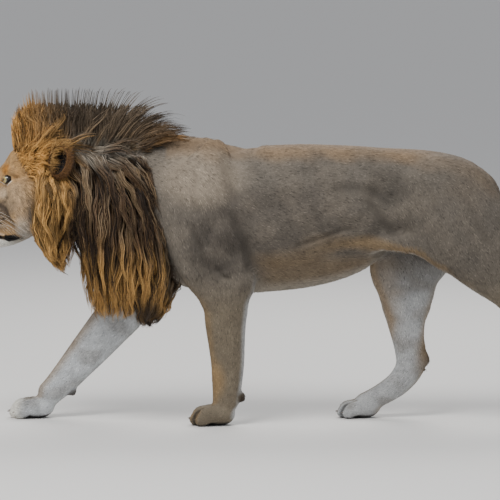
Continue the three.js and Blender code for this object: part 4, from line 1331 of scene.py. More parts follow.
def spindles(roots, n, way, length, width, rise, uv, tone):
    """Closed tufts of six triangles: root, a ring of three, tip."""
    count = len(roots)
    across = unit(np.cross(way, n))
    belly = roots + way * (0.42 * length)[:, None] + n * (0.42 * length * np.sin(rise) + 0.25)[:, None]
    tip = roots + way * length[:, None] + n * (length * np.sin(rise) * 0.8)[:, None]
    ring = []
    for angle in (90, 210, 330):
        a = math.radians(angle)
        ring.append(belly + (across * math.cos(a) + n * 0.14 * math.sin(a)) * (width / 2)[:, None])
    points = np.stack([roots - n * 1.2, *ring, tip], axis=1)
    faces = np.array([[0, 2, 1], [0, 3, 2], [0, 1, 3], [4, 1, 2], [4, 2, 3], [4, 3, 1]])
    faces = faces[None] + 5 * np.arange(count)[:, None, None]
    spot = np.array([[0.5, 0], [0.1, 0.42], [0.5, 0.42], [0.9, 0.42], [0.5, 1]]) - 0.5
    # Painted shade at each tuft's root and a little painted light at its tip.
    painted_shading = np.array([0.92, 1.0, 1.0, 1.0, 1.05])
    return (
        points.reshape(-1, 3), faces.reshape(-1, 3), (uv[:, None] + spot * PATCH).reshape(-1, 2),
        (tone[:, None] * painted_shading[:, None]).reshape(-1, 3),
    )


COAT_TUFTS = 78000
middle = skin_surface["middle"]
f = folded(middle)
density = np.full(len(middle), 1.0)
density *= 1 + 4.0 * ramp(-middle[:, 0], 940, 1000) + 0.8 * ramp(-middle[:, 2], -560, -300) * (middle[:, 0] > -1000)
density *= 1 - np.minimum(mane_hold(middle), 1)
density *= 1 - ramp(bare(middle), 0.1, 0.5)
density *= middle[:, 2] > 10
density *= ramp(np.linalg.norm(f - LEFT_EYE, axis=1), 22, 34)
roots, n, uv = scatter(skin_surface, density, COAT_TUFTS)
tone = coat_tone(roots, n)
face = ramp(-roots[:, 0], 950, 1060)
tone *= (1 + rng.normal(0, 1, len(roots)).clip(-2, 2) * (0.3 + 0.02 * face) + 0.03)[:, None]
feet = ramp(-roots[:, 2], -170, -70) * (roots[:, 0] > -1100)
leg = ramp(-roots[:, 2], -620, -420) * (roots[:, 0] > -1000)
cheek = face * ramp(roots[:, 0], -1090, -1010)
length = 19 - 5 * leg - 12 * face + 13 * cheek
length = length - 5 * feet * (1 - face)
length *= rng.uniform(0.7, 1.25, len(roots)) * (1 - 0.65 * ramp(muscle_grooves(roots, n), 1, 6))
width = (3.2 - 0.6 * leg - 1.4 * face) * rng.uniform(0.7, 1.2, len(roots))
rise = np.radians(rng.normal(3.5 + 4 * face, 2).clip(1, 16))
way = along_skin(comb(roots, COAT_STROKES), n)
way = unit(way + np.cross(n, way) * rng.normal(0, 0.16, (len(roots), 1)))

COAT_PIECES = {
    "coat_face": roots[:, 0] < -900,
    "coat_left_side": (roots[:, 1] < 0) & (roots[:, 2] > 560) & (roots[:, 0] >= -900),
    "coat_right_side": (roots[:, 1] >= 0) & (roots[:, 2] > 560) & (roots[:, 0] >= -900),
    "coat_legs": (roots[:, 2] <= 560) & (roots[:, 0] >= -900),
}
coat = []
for name, mine in COAT_PIECES.items():
    coat.append(joined_mesh(name, *spindles(
        roots[mine], n[mine], way[mine], length[mine], width[mine], rise[mine], uv[mine], tone[mine]), smooth=False))

# %% [markdown]
# ## Mane
# The mane is long, wavy hair that gathers in locks. Real hair grows from the skin, stands up a little and
# then falls over the hair below it. The model does the same: each lock has one guide that starts on the
# skin and is grown step by step, combed by strokes of its own, and steered by its layer, which is 0 on the
# skin and 1 on the outer surface of the mane's solids. So the locks fill the mane's true outline.
# Some twenty strands then follow each guide and close up towards its tip.

# %% Layer of the mane
core_field = joined([*trunk, *fore_left[:6], *fore_right[:6], *head])


def layer(p):
    inner = core_field(p)
    return inner / np.maximum(inner - mane_field(p), 12)


CREST_ANGLES = np.array([  # place along x, angle of the hair: forward in front, back behind
    [-1070, 101], [-1020, 100], [-960, 96], [-880, 91], [-800, 84], [-700, 76], [-620, 58], [-540, 30],
    [-480, 10], [-420, -6],
])
CREST_REACH = np.array([[-1070, 60], [-1040, 120], [-990, 185], [-930, 240], [-850, 300], [-640, 300], [-440, 100]])
MANE_STROKES = [
    # temples, round the ear and under the parting
    [-1060, 1060, 34], [-1030, 1100, 40], [-1030, 1010, -8], [-1000, 1050, 18], [-970, 1095, 14], [-930, 1100, -8],
    [-960, 1010, -40], [-890, 1110, -40], [-850, 1085, -62], [-830, 1030, -80], [-840, 1110, -60],
    [-790, 1100, -66], [-730, 1095, -66], [-660, 1095, -60], [-590, 1090, -50], [-520, 1095, -34], [-450, 1090, -28],
    # side of the neck
    [-800, 1010, -74], [-730, 1000, -68], [-650, 1000, -62], [-570, 1000, -56], [-500, 1000, -52],
    [-800, 900, -92], [-730, 890, -88], [-650, 890, -84], [-570, 890, -74], [-490, 890, -64],
    [-790, 760, -98], [-720, 740, -93], [-640, 740, -90], [-560, 740, -82], [-470, 740, -70],
    [-760, 620, -96], [-680, 600, -92], [-600, 600, -90], [-520, 600, -90], [-440, 620, -88],
    [-700, 480, -92], [-600, 470, -92], [-500, 470, -94],
    # ruff round the face
    [-985, 960, -76], [-990, 900, -92], [-996, 830, -98], [-988, 760, -84], [-950, 700, -58], [-900, 640, -68],
    [-925, 960, -92], [-935, 860, -104], [-925, 760, -90], [-885, 680, -84], [-865, 960, -88],
    [-860, 860, -96], [-855, 760, -98],
]


def mane_way(p, crest):
    """Side hair follows the strokes. Crest hair stands up, and parts a little to both sides."""
    angle = np.radians(np.interp(p[:, 0], CREST_ANGLES[:, 0], CREST_ANGLES[:, 1]))
    lean = 0.35 * np.clip(p[:, 1] / 70, -1.2, 1.2)
    up = unit(np.stack([np.cos(angle), lean, np.sin(angle)], axis=1))
    return unit(up * crest[:, None] + comb(p, MANE_STROKES, 80) * (1 - crest[:, None]))


STEPS = 24


def grown(roots, n, reach, level, free, crest):
    """Guides of STEPS points. reach is the length, level the layer to lie in, free how little it matters."""
    p = roots - n * 3
    way = unit(0.8 * n + mane_way(p, crest))
    path = [p]
    for i in range(STEPS - 1):
        t = (i + 0.5) / (STEPS - 1)
        s = layer(p)
        rise = slope(layer, p, s, 2.0)
        steep = np.linalg.norm(rise, axis=1)
        out = rise / np.maximum(steep, 1e-4)[:, None]
        loose = np.maximum(free, ramp(np.full(len(p), t), 0.6, 1.0) * 0.75)[:, None]
        wish = mane_way(p, crest)
        wish = unit(wish - (1 - loose) * out * np.sum(wish * out, axis=1, keepdims=True))
        miss = level * ramp(np.full(len(p), t), -0.05, 0.4) - s
        wish = wish + (1 - loose) * out * np.clip(miss * 3.2, -0.9, 0.9)[:, None]
        way = unit(0.55 * way + 0.45 * unit(wish))
        p = p + way * (reach / (STEPS - 1))[:, None]
        path.append(p)
    return np.stack(path, axis=1)


def outside_ears(path):
    """Ends each guide where it would run into an ear's cup, and says which guides start clear of the ears."""
    last = np.full(len(path), STEPS - 1)
    for side in (-1, 1):
        local = (path - EAR_PLACE * (1, side, 1)) @ ear_turn(side)
        within = (np.linalg.norm(local / (EAR_HALF + 3), axis=2) < 1) & (local[..., 0] > -26)
        last = np.where(within.any(1), np.minimum(last, within.argmax(1)), last)
    share = last / (STEPS - 1)
    return sampled(path, share[:, None] * np.linspace(0, 1, STEPS)[None]), share > 0.3


def cut_at_outline(path, ragged):
    """Ends each guide where it leaves the mane's outline by more than its own ragged length."""
    outside = mane_field(path.reshape(-1, 3)).reshape(path.shape[:2]) > ragged[:, None]
    outside[:, : STEPS // 4] = False
    last = np.where(outside.any(1), outside.argmax(1), STEPS - 1)
    share = last / (STEPS - 1)
    return sampled(path, share[:, None] * np.linspace(0, 1, STEPS)[None])


def sampled(path, at):
    """Points of each path at shares 0 to 1 of its length."""
    place_in = np.clip(at, 0, 1) * (path.shape[1] - 1)
    low = np.minimum(place_in.astype(int), path.shape[1] - 2)
    part = (place_in - low)[..., None]
    rows = np.arange(len(path))[:, None]
    return path[rows, low] * (1 - part) + path[rows, low + 1] * part


# %% Roots of the locks
LOCKS = 1500
hold = mane_hold(middle)
hold = hold * (1 + 3.6 * crest_share(middle) + 1.2 * ramp(-middle[:, 0], 840, 900))
hold = hold * (1 + 2.5 * patch(middle * (1, 0, 1), (-1000, 0, 1060), (70, 1, 70), 0.5))
hold *= 1 - crest_share(middle) * ramp(middle[:, 0], -450, -420)
roots, n, uv = scatter(skin_surface, hold, LOCKS)
x, y, z = roots.T
on_crest = crest_share(roots)
ruff = ramp(-x, 800, 860) * (1 - on_crest)
reach = 370 + 20 * ramp(-z, -980, -800) - 110 * ramp(-z, -640, -520)
reach = reach * (1 - ruff) + (170 + 110 * ramp(-z, -1060, -900) - 60 * ramp(-z, -800, -700)) * ruff
reach = reach * (1 - on_crest) + np.interp(x, CREST_REACH[:, 0], CREST_REACH[:, 1]) * on_crest
elbow_tuft = ramp(-z, -600, -540)
reach = reach * (1 - elbow_tuft) + 150 * elbow_tuft
reach *= 1 - 0.45 * patch(roots * (1, 0, 1), (-1000, 0, 1080), (80, 1, 70), 0.5) * (1 - on_crest)
reach *= 1 - 0.25 * ramp(-x, 985, 1050) * (1 - on_crest)
reach *= 1 - 0.5 * patch(roots * (1, 0, 1), (-930, 0, 1105), (100, 1, 50), 0.5) * (1 - on_crest)
reach *= rng.uniform(0.75, 1.12, LOCKS)
level = rng.uniform(0.3, 1.0, LOCKS) ** 0.6
guides = grown(roots, n, reach, level, 0.95 * on_crest, on_crest)
guides = cut_at_outline(guides, rng.normal(4, 9, LOCKS) + on_crest * rng.normal(32, 14, LOCKS).clip(0, 42))
guides, clear = outside_ears(guides)
guides, roots, uv, on_crest, elbow_tuft = (a[clear] for a in (guides, roots, uv, on_crest, elbow_tuft))
LOCKS = len(guides)
print("guides:", LOCKS, "mean length", round(float(reach.mean())))


# %% Waves along the locks
def frames_along(path):
    """The way, the outward side and the cross of each point of each path."""
    way = unit(np.gradient(path, axis=1))
    flat = path.reshape(-1, 3)
    out = slope(core_field, flat, None, 3.0).reshape(path.shape)
    out = unit(out - way * np.sum(out * way, axis=2, keepdims=True))
    return way, out, np.cross(way, out)


way_g, out_g, cross_g = frames_along(guides)
t = np.linspace(0, 1, STEPS)
arc = np.concatenate([
    np.zeros((LOCKS, 1)), np.cumsum(np.linalg.norm(np.diff(guides, axis=1), axis=2), axis=1)], axis=1)
phase = 2.2 * waves(roots, 260, 11) + rng.normal(0, 0.7, LOCKS)
wavelength = rng.uniform(100, 155, LOCKS)
temple_lock = patch(roots * (1, 0, 1), (-1000, 0, 1050), (80, 1, 90), 0.5)
swing = rng.uniform(4, 10, LOCKS) * (1 - 0.4 * on_crest) * (1 - 0.7 * temple_lock)
bend = np.sin(arc / wavelength[:, None] * 2 * math.pi + phase[:, None]) * swing[:, None] * ramp(t, 0.1, 0.5)
stray = rng.normal(0, 9, LOCKS)[:, None] * ramp(t, 0.3, 1.0)
guides = guides + cross_g * (bend + stray)[..., None]

# %% Strands
STRANDS = 17
WISP_TOP = 1325  # the crest's longest wisps are bent down above this height
RINGS = 6


def tubes(path, radius, uv):
    """Closed three-sided strands through path (strand, ring, 3), from a root point to a tip point."""
    count, rings = path.shape[:2]
    way = unit(np.gradient(path, axis=1))
    side = unit(np.cross(way, np.array([0.31, 0.23, 0.92])))
    over = np.cross(way, side)
    corners = []
    for k in range(1, rings - 1):
        for angle in (90, 210, 330):
            a = math.radians(angle)
            corners.append(path[:, k] + radius[:, k, None] * (side[:, k] * math.cos(a) + over[:, k] * math.sin(a)))
    points = np.stack([path[:, 0], *corners, path[:, -1]], axis=1)
    tip = points.shape[1] - 1
    faces = [[0, 2, 1], [0, 3, 2], [0, 1, 3]]
    for k in range(rings - 3):
        for c in range(3):
            a, b = 1 + 3 * k + c, 1 + 3 * k + (c + 1) % 3
            faces += [[a, b, b + 3], [a, b + 3, a + 3]]
    last = tip - 3
    faces += [[last, last + 1, tip], [last + 1, last + 2, tip], [last + 2, last, tip]]
    faces = np.array(faces)[None] + (tip + 1) * np.arange(count)[:, None, None]
    along = np.concatenate([[0], np.repeat(np.linspace(0, 1, rings)[1:-1], 3), [1]])
    across = np.concatenate([[0.5], np.tile([0.1, 0.5, 0.9], rings - 2), [0.5]])
    spot = np.stack([across, along], axis=1) - 0.5
    return points, faces.reshape(-1, 3), (uv[:, None] + spot * PATCH).reshape(-1, 2), along


lock_of = np.repeat(np.arange(LOCKS), STRANDS)
count = len(lock_of)
spread = rng.normal(0, 1, (count, 2)).clip(-1.8, 1.8)
length_share = rng.uniform(0.78 - 0.33 * on_crest[lock_of], 1.06)
at = length_share[:, None] * np.linspace(0, 1, RINGS + 2)[None] ** 0.9
centre = sampled(guides[lock_of], at)
cross_s, out_s = sampled(cross_g[lock_of], at), sampled(out_g[lock_of], at)
lock_radius = rng.uniform(9, 15, LOCKS)[lock_of, None]
crest_of = on_crest[lock_of, None]
gather = lock_radius * (1.15 - (0.95 - 0.85 * crest_of) * np.clip(at, 0, 1) ** 0.8)
curl = rng.uniform(0, 6.3, (count, 1)) + at * rng.uniform(3, 7, (count, 1))
frizz = 1.8 * ramp(at, 0.1, 0.6) * (1 - 0.6 * temple_lock[lock_of, None])
paths = (
    centre
    + cross_s * (gather * spread[:, :1] + frizz * np.sin(curl))[..., None]
    + out_s * (0.5 * gather * spread[:, 1:] + frizz * np.cos(curl))[..., None]
)
over_top = np.maximum(paths[..., 2] - WISP_TOP, 0)
paths[..., 2] -= 0.65 * over_top
radius = rng.uniform(1.2, 2.3, (count, 1)) * (1 - 0.85 * np.linspace(0, 1, RINGS + 2)[None] ** 1.6)
skin_tree = KDTree(len(middle))
for i, m in enumerate(middle):
    skin_tree.insert(m, i)
skin_tree.balance()


def map_place(p):
    """Where points lie on the skin's unwrap."""
    return np.array([skin_surface["uv"][skin_tree.find(q)[1]].mean(0) for q in p])


root_uv = map_place(paths[:, 0]) + rng.uniform(-0.001, 0.001, (count, 2))
points, faces, uv, along = tubes(paths, radius, root_uv)
print("strands:", count, "triangles:", len(faces))

# %% Colours of the mane
MANE_GOLD = linear(0xBE9458)
MANE_TAN = linear(0xA38C6B)
MANE_GREY = linear(0x827361)
MANE_BROWN = linear(0x634D38)
MANE_DARK = linear(0x2E231A)
MANE_TIP = linear(0x2C241D)
ROOT_GREY = linear(0xCBC1B0)


def mane_tone(p, root, t, luck):
    """Colours along strands: p are points, root their roots, t their share of the length."""
    x, y, z = p.T
    rx, ry, rz = root.T
    crest = crest_share(root)
    side = 1 - crest
    tone = np.tile(MANE_BROWN, (len(p), 1))
    tone = blend_in(tone, MANE_DARK, ramp(0.5 - luck, 0, 0.14))
    tone = blend_in(tone, MANE_TAN, 0.55 * ramp(luck, 0.66, 0.95))
    tone = blend_in(tone, MANE_TAN, 0.3 * side * ramp(rx, -540, -440))
    tone = blend_in(tone, MANE_GOLD * 1.22, 0.95 * ramp(140 * (luck - 0.5) - z, -740, -570) * ramp(t, 0.25, 0.7) * ramp(luck, 0.0, 0.3))
    ruff = ramp(-rx, 830, 890) * side
    tone = blend_in(tone, MANE_GOLD * (0.5 + 0.95 * luck)[:, None], ruff * (0.5 + 0.5 * luck))
    light_root = side * ramp(rz, 1020, 1080) * ramp(0.38 - t, 0, 0.32) * ramp(rx, -870, -810)
    tone = blend_in(tone, ROOT_GREY, 0.85 * light_root)
    temple = patch(p * (1, 0, 1), (-985, 0, 1075), (100, 1, 72), 0.5)
    tone = blend_in(tone, MANE_GOLD * (1.25, 1.15, 0.95), 0.75 * temple)
    front = ramp(-rx - 60 * luck, 830, 990)
    rear = ramp(rx, -640, -500)
    tone = blend_in(tone, MANE_GREY, crest * (0.85 - 0.3 * (luck < 0.35)))
    tone = blend_in(tone, MANE_GOLD * (1.62, 1.5, 1.25) * (0.5 + 0.85 * luck)[:, None], crest * front * 0.9)
    tone = blend_in(tone, MANE_DARK, 0.75 * crest * front * ramp(0.3 - luck, 0, 0.15))
    part = crest * ramp(0.34 - t, 0, 0.24) * ramp(rx, -880, -820) * ramp(-rx, 500, 580)
    tone = blend_in(tone, ROOT_GREY, 0.9 * part)
    tone = blend_in(tone, MANE_GOLD * (0.85, 0.75, 0.6), crest * rear * (0.35 + 0.5 * luck))
    tone = blend_in(tone, MANE_TIP, crest * ramp(t, 0.4, 0.85) * (1 - 0.75 * front * ramp(-z, -1320, -1270)) * (1 - 0.3 * rear) * (0.9 - 0.4 * luck))
    tone = blend_in(tone, MANE_TIP, 0.9 * ramp(-rz, -600, -540))
    return blend_in(tone, MANE_TIP, 0.85 * patch(p * (1, 0, 1), (-520, 0, 425), (54, 1, 62), 0.5))


lock_luck = np.clip(0.5 + 0.34 * rng.normal(0, 1, LOCKS) + 0.25 * waves(roots, 120, 21), 0, 1)
strand_luck = np.clip(lock_luck[lock_of] + rng.normal(0, 0.22, count), 0, 1)
per = points.shape[1]
share_t = (along[None] * length_share[:, None]).ravel()
# Painted shade: strands deeper in a lock are darker, and each strand also varies at random.
depth_shade = 0.82 + 0.13 * spread[:, 1]
strand_shade = depth_shade * rng.normal(1, 0.2, count).clip(0.5, 1.5)


def spread_out(values):
    """One value for each strand as one for each of its points."""
    return np.repeat(values, per, axis=0)


tone = mane_tone(points.reshape(-1, 3), spread_out(paths[:, 0]), share_t, spread_out(strand_luck))
# Each strand is also darker towards its root.
tone *= (spread_out(strand_shade) * (0.82 + 0.28 * ramp(share_t, 0, 0.5)))[:, None]

# %% Pieces of the mane
rx, ry, rz = roots.T
crest_middle = np.median(rx[on_crest > 0.5])  # two pieces of equal size
kind = np.where(on_crest > 0.5, np.where(rx < crest_middle, 0, 1), np.where(rx < -830, 2, np.where(rz > 850, 4, 6)))
kind = kind + (kind > 1) * (ry > 0)
MANE_PIECES = [
    ("mane_crest_front", "mane_crest"), ("mane_crest_back", None), ("mane_ruff_left", "mane_left"),
    ("mane_ruff_right", "mane_right"), ("mane_neck_left", None), ("mane_neck_right", None),
    ("mane_chest_left", None), ("mane_chest_right", None),
]
faces = faces.reshape(count, -1, 3)
uv, tone = uv.reshape(count, per, 2), tone.reshape(count, per, 3)
mane = []
for index, (name, node) in enumerate(MANE_PIECES):
    mine = np.flatnonzero(kind[lock_of] == index)
    local_faces = faces[: len(mine)].reshape(-1, 3)
    mane.append(joined_mesh(
        name, points[mine].reshape(-1, 3), local_faces, uv[mine].reshape(-1, 2), tone[mine].reshape(-1, 3),
        node, "mane"))

# %% [markdown]
# ## Tail tuft
# The tail ends in a brush of dark hair that starts on the last hand's breadth of the tail, swells round it
# and closes to a point. Its strands follow the line of the tail, further from it in the middle.

# %% Tail tuft
TUFT_LINE = np.array([[1092.0, 34, 358], [1122, 35, 334], [1156, 36.5, 308], [1194, 38, 286], [1234, 38, 268]])
TUFT_STRANDS = 1700
start, end = rng.uniform(0, 0.5, TUFT_STRANDS), rng.uniform(0.72, 1.0, TUFT_STRANDS)
at = start[:, None] + (end - start)[:, None] * np.linspace(0, 1, RINGS + 2)[None]
axis = sampled(np.repeat(line_through(TUFT_LINE)[None], TUFT_STRANDS, 0), at)
around, share = rng.uniform(0, 2 * math.pi, TUFT_STRANDS), rng.uniform(0.1, 1, TUFT_STRANDS) ** 0.6
swell = 13 + share[:, None] * (30 * np.sin(np.clip(at, 0, 1) * math.pi) ** 1.2 - 10 * at)
swell = swell * (1 - 0.8 * ramp(at, 0.75, 1.0))
tail_way = unit(TUFT_LINE[-1] - TUFT_LINE[0])
tail_side = unit(np.cross(tail_way, [0, 0, 1.0]))
tail_up = np.cross(tail_side, tail_way)
paths = axis + swell[..., None] * (
    np.cos(around)[:, None, None] * tail_side + np.sin(around)[:, None, None] * tail_up)
paths[:, 0] = axis[:, 0] + (paths[:, 0] - axis[:, 0]) * 0.8
radius = rng.uniform(1.3, 2.1, (TUFT_STRANDS, 1)) * (1 - 0.85 * np.linspace(0, 1, RINGS + 2)[None] ** 1.6)
points, faces, uv, along = tubes(paths, radius, map_place(paths[:, 0]) + rng.uniform(-0.001, 0.001, (TUFT_STRANDS, 2)))
tone = TAIL_DARK * rng.uniform(0.6, 1.7, (TUFT_STRANDS, 1))
tone = np.repeat(tone, points.shape[1], axis=0)
tail_hair = joined_mesh("tail_tuft_hair", points.reshape(-1, 3), faces, uv, tone, "tail_tuft", "dark_hair")

# %% [markdown]
# ## Whiskers and hair of the ears
# Whiskers are stiff pale bristles in rows, one from each dark spot of the lip, and they sweep out and back.
# The ears carry a fringe of golden hair round the rim and over the back of the cup.

# %% Whiskers
def whiskers():
    roots = np.vstack([WHISKER_ROOTS, WHISKER_ROOTS * (1, -1, 1)])
    count = len(roots)
    side = np.sign(roots[:, 1:2])
    back = ramp(roots[:, :1], -1205, -1110)
    way = unit(np.hstack([-0.35 + 1.0 * back, side * (1.0 - 0.2 * back), -0.15 + 0.12 * rng.normal(size=(count, 1))]))
    length = (70 + 70 * back[:, 0]) * rng.uniform(0.8, 1.1, count)
    at = np.linspace(0, 1, 10)[None, :, None]
    droop = np.array([0.45, 0, -0.5])
    paths = roots[:, None] + length[:, None, None] * (at * way[:, None] + at ** 2 * droop)
    radius = np.full((count, 1), 0.55) * (1 - 0.8 * np.linspace(0, 1, 10)[None])
    points, faces, uv, along = tubes(paths, radius, map_place(roots))
    tone = np.tile(linear(0xE6E0D4), (points.shape[0] * points.shape[1], 1))
    return joined_mesh("whiskers", points.reshape(-1, 3), faces, uv, tone)


bristles = whiskers()


# %% Ear hair
def ear_hair(name, side):
    cup = ears[side]
    cup_surface = surface_of(cup)
    turn = ear_turn(side)
    centre = EAR_PLACE * (1, side, 1)
    local = (cup_surface["middle"] - centre) @ turn
    facing = (cup_surface["normals"].mean(1)) @ turn
    rim = ramp(-local[:, 0], -6, 8)
    outer = ramp(facing[:, 0], -0.35, 0.1)
    density = 0.6 * outer + 1.6 * rim * ramp(facing[:, 0], -1.1, -0.2)
    count = 4000
    roots, n, uv = scatter(cup_surface, density, count)
    offset = roots - centre
    local = offset @ turn
    on_rim = ramp(-local[:, 0], -6, 8)
    fore_top = ramp(-offset[:, 0] + 0.8 * offset[:, 2], -10, 50)
    radial = unit(local * (0, 1, 1)) @ turn.T
    back = np.array([0.9, 0.0, 0.05])
    way = along_skin(unit(0.4 * radial + back), n) + (0.3 * n + 0.1 * radial) * on_rim[:, None]
    way = unit(way + rng.normal(0, 0.2, (count, 3)))
    length = (16 + (8 + 34 * fore_top) * on_rim) * rng.uniform(0.5, 1.3, count)
    width = rng.uniform(1.6, 2.6, count)
    rise = np.radians(rng.uniform(4, 20, count))
    tone = blend_in(np.tile(linear(0x6E4D2B), (count, 1)), MANE_GOLD, fore_top)
    dark_back = ramp(local[:, 0], 16, 30) * ramp(local[:, 2], -30, 0)
    tone = blend_in(tone, BLACK * 1.3, dark_back) * rng.uniform(0.7, 1.25, (count, 1))
    return joined_mesh(name, *spindles(roots, n, way, length, width, rise, uv, tone))


ear_fringe = [ear_hair("ear_hair_left", -1), ear_hair("ear_hair_right", 1)]

# %% [markdown]
# ## Finishes
# Every finish starts from the colours painted on its mesh and adds what is too fine to paint: the grain of
# hair, cloudy shifts of tone, wet gloss. The grain is one node group with its own inputs, placed in each
# finish with other values, so that skin, coat and mane look like hair of one animal.

# %% Grain group
def socket(group, name, kind, way="INPUT", value=None):
    made = group.interface.new_socket(name=name, in_out=way, socket_type=kind)
    if value is not None:
        made.default_value = value
    return made


def hair_grain_group():
    """Colour in, colour and height out: fine streaks and a slow drift of tone."""
    group = bpy.data.node_groups.new("hair_grain", "ShaderNodeTree")
    socket(group, "Tone", "NodeSocketColor")
    socket(group, "Position", "NodeSocketVector")
    socket(group, "Grain", "NodeSocketFloat", value=0.3)
    socket(group, "Drift", "NodeSocketFloat", value=0.2)
    socket(group, "Tone", "NodeSocketColor", "OUTPUT")
    socket(group, "Height", "NodeSocketFloat", "OUTPUT")
    nodes, links = group.nodes, group.links
    given, result = nodes.new("NodeGroupInput"), nodes.new("NodeGroupOutput")
    fine = nodes.new("ShaderNodeTexNoise")
    fine.inputs["Scale"].default_value = 420
    fine.inputs["Detail"].default_value = 3
    slow = nodes.new("ShaderNodeTexNoise")
    slow.inputs["Scale"].default_value = 20
    slow.inputs["Detail"].default_value = 5
    slow.inputs["Roughness"].default_value = 0.74
    links.new(given.outputs["Position"], fine.inputs["Vector"])
    links.new(given.outputs["Position"], slow.inputs["Vector"])

    def around_one(noise, amount):
        """1 + amount * (noise - 0.5) * 2."""
        shifted = nodes.new("ShaderNodeMath")
        shifted.operation = "MULTIPLY_ADD"
        shifted.inputs[1].default_value = 2
        shifted.inputs[2].default_value = -1
        links.new(noise.outputs["Fac"], shifted.inputs[0])
        scaled = nodes.new("ShaderNodeMath")
        scaled.operation = "MULTIPLY_ADD"
        scaled.inputs[2].default_value = 1
        links.new(shifted.outputs[0], scaled.inputs[0])
        links.new(amount, scaled.inputs[1])
        return scaled.outputs[0]

    both_shifts = nodes.new("ShaderNodeMath")
    both_shifts.operation = "MULTIPLY"
    links.new(around_one(fine, given.outputs["Grain"]), both_shifts.inputs[0])
    links.new(around_one(slow, given.outputs["Drift"]), both_shifts.inputs[1])
    tinted = nodes.new("ShaderNodeVectorMath")
    tinted.operation = "SCALE"
    links.new(given.outputs["Tone"], tinted.inputs[0])
    links.new(both_shifts.outputs[0], tinted.inputs["Scale"])
    links.new(tinted.outputs[0], result.inputs["Tone"])
    links.new(fine.outputs["Fac"], result.inputs["Height"])
    return group


HAIR_GRAIN = hair_grain_group()


# %% A finish of hair or skin
def hair_finish(name, grain, drift, bump, roughness, stretch=(1, 1, 1), sheen=0.0):
    """A material whose colour is the mesh's tone with grain, and whose grain also stands up as relief."""
    material = bpy.data.materials.new(name)
    material.use_nodes = True
    nodes, links = material.node_tree.nodes, material.node_tree.links
    shader = nodes["Principled BSDF"]
    shader.inputs["Roughness"].default_value = roughness
    shader.inputs["Specular IOR Level"].default_value = 0.25
    shader.inputs["Sheen Weight"].default_value = sheen
    painted = nodes.new("ShaderNodeAttribute")
    painted.attribute_name = "tone"
    place_in = nodes.new("ShaderNodeTexCoord")
    mapping = nodes.new("ShaderNodeMapping")
    mapping.inputs["Scale"].default_value = stretch
    links.new(place_in.outputs["Object"], mapping.inputs["Vector"])
    group = nodes.new("ShaderNodeGroup")
    group.node_tree = HAIR_GRAIN
    group.inputs["Grain"].default_value = grain
    group.inputs["Drift"].default_value = drift
    links.new(painted.outputs["Color"], group.inputs["Tone"])
    links.new(mapping.outputs["Vector"], group.inputs["Position"])
    links.new(group.outputs["Tone"], shader.inputs["Base Color"])
    if bump:
        relief = nodes.new("ShaderNodeBump")
        relief.inputs["Strength"].default_value = bump
        relief.inputs["Distance"].default_value = 0.002
        links.new(group.outputs["Height"], relief.inputs["Height"])
        links.new(relief.outputs["Normal"], shader.inputs["Normal"])
    return material


skin_finish = hair_finish("short_coat_skin", 0.45, 0.45, 0.6, 0.8)
coat_finish = hair_finish("coat_tufts", 0.3, 0.45, 0, 0.7, sheen=0.05)
mane_finish = hair_finish("mane_hair", 0.2, 0.2, 0, 0.55)
ear_finish = hair_finish("ear_skin", 0.3, 0.2, 0.5, 0.7)


# %% Wet and bare skin
def add_gloss(material, attribute, dry, wet):
    """Roughness falls from dry to wet where the attribute is 1."""
    nodes, links = material.node_tree.nodes, material.node_tree.links
    mask = nodes.new("ShaderNodeAttribute")
    mask.attribute_name = attribute
    rough = nodes.new("ShaderNodeMapRange")
    rough.inputs["To Min"].default_value = dry
    rough.inputs["To Max"].default_value = wet
    links.new(mask.outputs["Fac"], rough.inputs["Value"])
    links.new(rough.outputs["Result"], nodes["Principled BSDF"].inputs["Roughness"])


add_gloss(skin_finish, "bare", 0.8, 0.38)


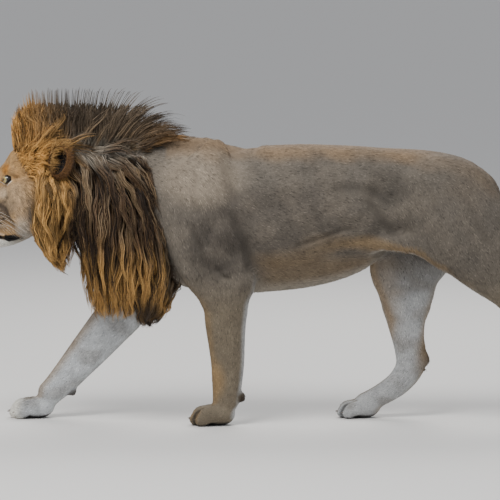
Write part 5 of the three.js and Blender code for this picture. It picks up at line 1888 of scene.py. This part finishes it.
# %% Eye
def eye_finish():
    """Round pupil, amber iris with fine spokes and a dark ring, and a brown white of the eye."""
    material = bpy.data.materials.new("eye_amber")
    material.use_nodes = True
    nodes, links = material.node_tree.nodes, material.node_tree.links
    shader = nodes["Principled BSDF"]
    shader.inputs["Roughness"].default_value = 0.12
    shader.inputs["Coat Weight"].default_value = 1.0
    shader.inputs["Coat Roughness"].default_value = 0.02
    angle = nodes.new("ShaderNodeAttribute")
    angle.attribute_name = "from_pupil"
    spokes = nodes.new("ShaderNodeTexNoise")
    spokes.inputs["Scale"].default_value = 300
    spokes.inputs["Detail"].default_value = 4
    place_in = nodes.new("ShaderNodeTexCoord")
    links.new(place_in.outputs["Object"], spokes.inputs["Vector"])
    shift = nodes.new("ShaderNodeMath")
    shift.operation = "MULTIPLY_ADD"
    shift.inputs[1].default_value = 0.12
    links.new(spokes.outputs["Fac"], shift.inputs[0])
    links.new(angle.outputs["Fac"], shift.inputs[2])
    rings = nodes.new("ShaderNodeValToRGB")
    rings.color_ramp.elements.remove(rings.color_ramp.elements[1])
    stops = [(0.0, 0x050403), (0.28, 0x050403), (0.34, 0x7A5A1E), (0.5, 0xA88A40), (0.84, 0xA39C68),
             (0.93, 0x3A2C16), (1.0, 0x120C09)]
    scale = nodes.new("ShaderNodeMath")
    scale.operation = "MULTIPLY"
    scale.inputs[1].default_value = 0.8
    links.new(shift.outputs[0], scale.inputs[0])
    links.new(scale.outputs[0], rings.inputs["Fac"])
    rings.color_ramp.elements[0].color = (*linear(stops[0][1]), 1)
    for at, code in stops[1:]:
        rings.color_ramp.elements.new(at).color = (*linear(code), 1)
    links.new(rings.outputs["Color"], shader.inputs["Base Color"])
    return material


# %% Claw horn
def claw_finish():
    material = bpy.data.materials.new("claw_horn")
    material.use_nodes = True
    nodes, links = material.node_tree.nodes, material.node_tree.links
    shader = nodes["Principled BSDF"]
    shader.inputs["Roughness"].default_value = 0.35
    place_in = nodes.new("ShaderNodeTexCoord")
    streaks = nodes.new("ShaderNodeTexNoise")
    streaks.inputs["Scale"].default_value = 260
    tints = nodes.new("ShaderNodeValToRGB")
    tints.color_ramp.elements[0].color = (*linear(0x2B241E), 1)
    tints.color_ramp.elements[1].color = (*linear(0x6E6152), 1)
    links.new(place_in.outputs["Object"], streaks.inputs["Vector"])
    links.new(streaks.outputs["Fac"], tints.inputs["Fac"])
    links.new(tints.outputs["Color"], shader.inputs["Base Color"])
    return material


# %% Floor
def floor_finish():
    material = bpy.data.materials.new("pale_floor")
    material.use_nodes = True
    shader = material.node_tree.nodes["Principled BSDF"]
    shader.inputs["Base Color"].default_value = (0.72, 0.71, 0.69, 1)
    shader.inputs["Roughness"].default_value = 0.9
    return material


# %% Dress every piece
def dress(piece, material):
    piece.data.materials.clear()
    piece.data.materials.append(material)


dress(skin, skin_finish)
for piece in coat + ear_fringe + [bristles]:
    dress(piece, coat_finish)
for piece in mane + [tail_hair]:
    dress(piece, mane_finish)
for cup in ears.values():
    dress(cup, ear_finish)
eye_amber = eye_finish()
for globe in eyes:
    dress(globe, eye_amber)
dress(floor, floor_finish())
horn = claw_finish()
for name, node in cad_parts.items():
    if name.startswith("claw"):
        for index in range(len(node.material_slots)):
            node.material_slots[index].material = horn

# %% Skin rides and stands for the flesh
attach(skin, "root")
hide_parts(*FLESH)
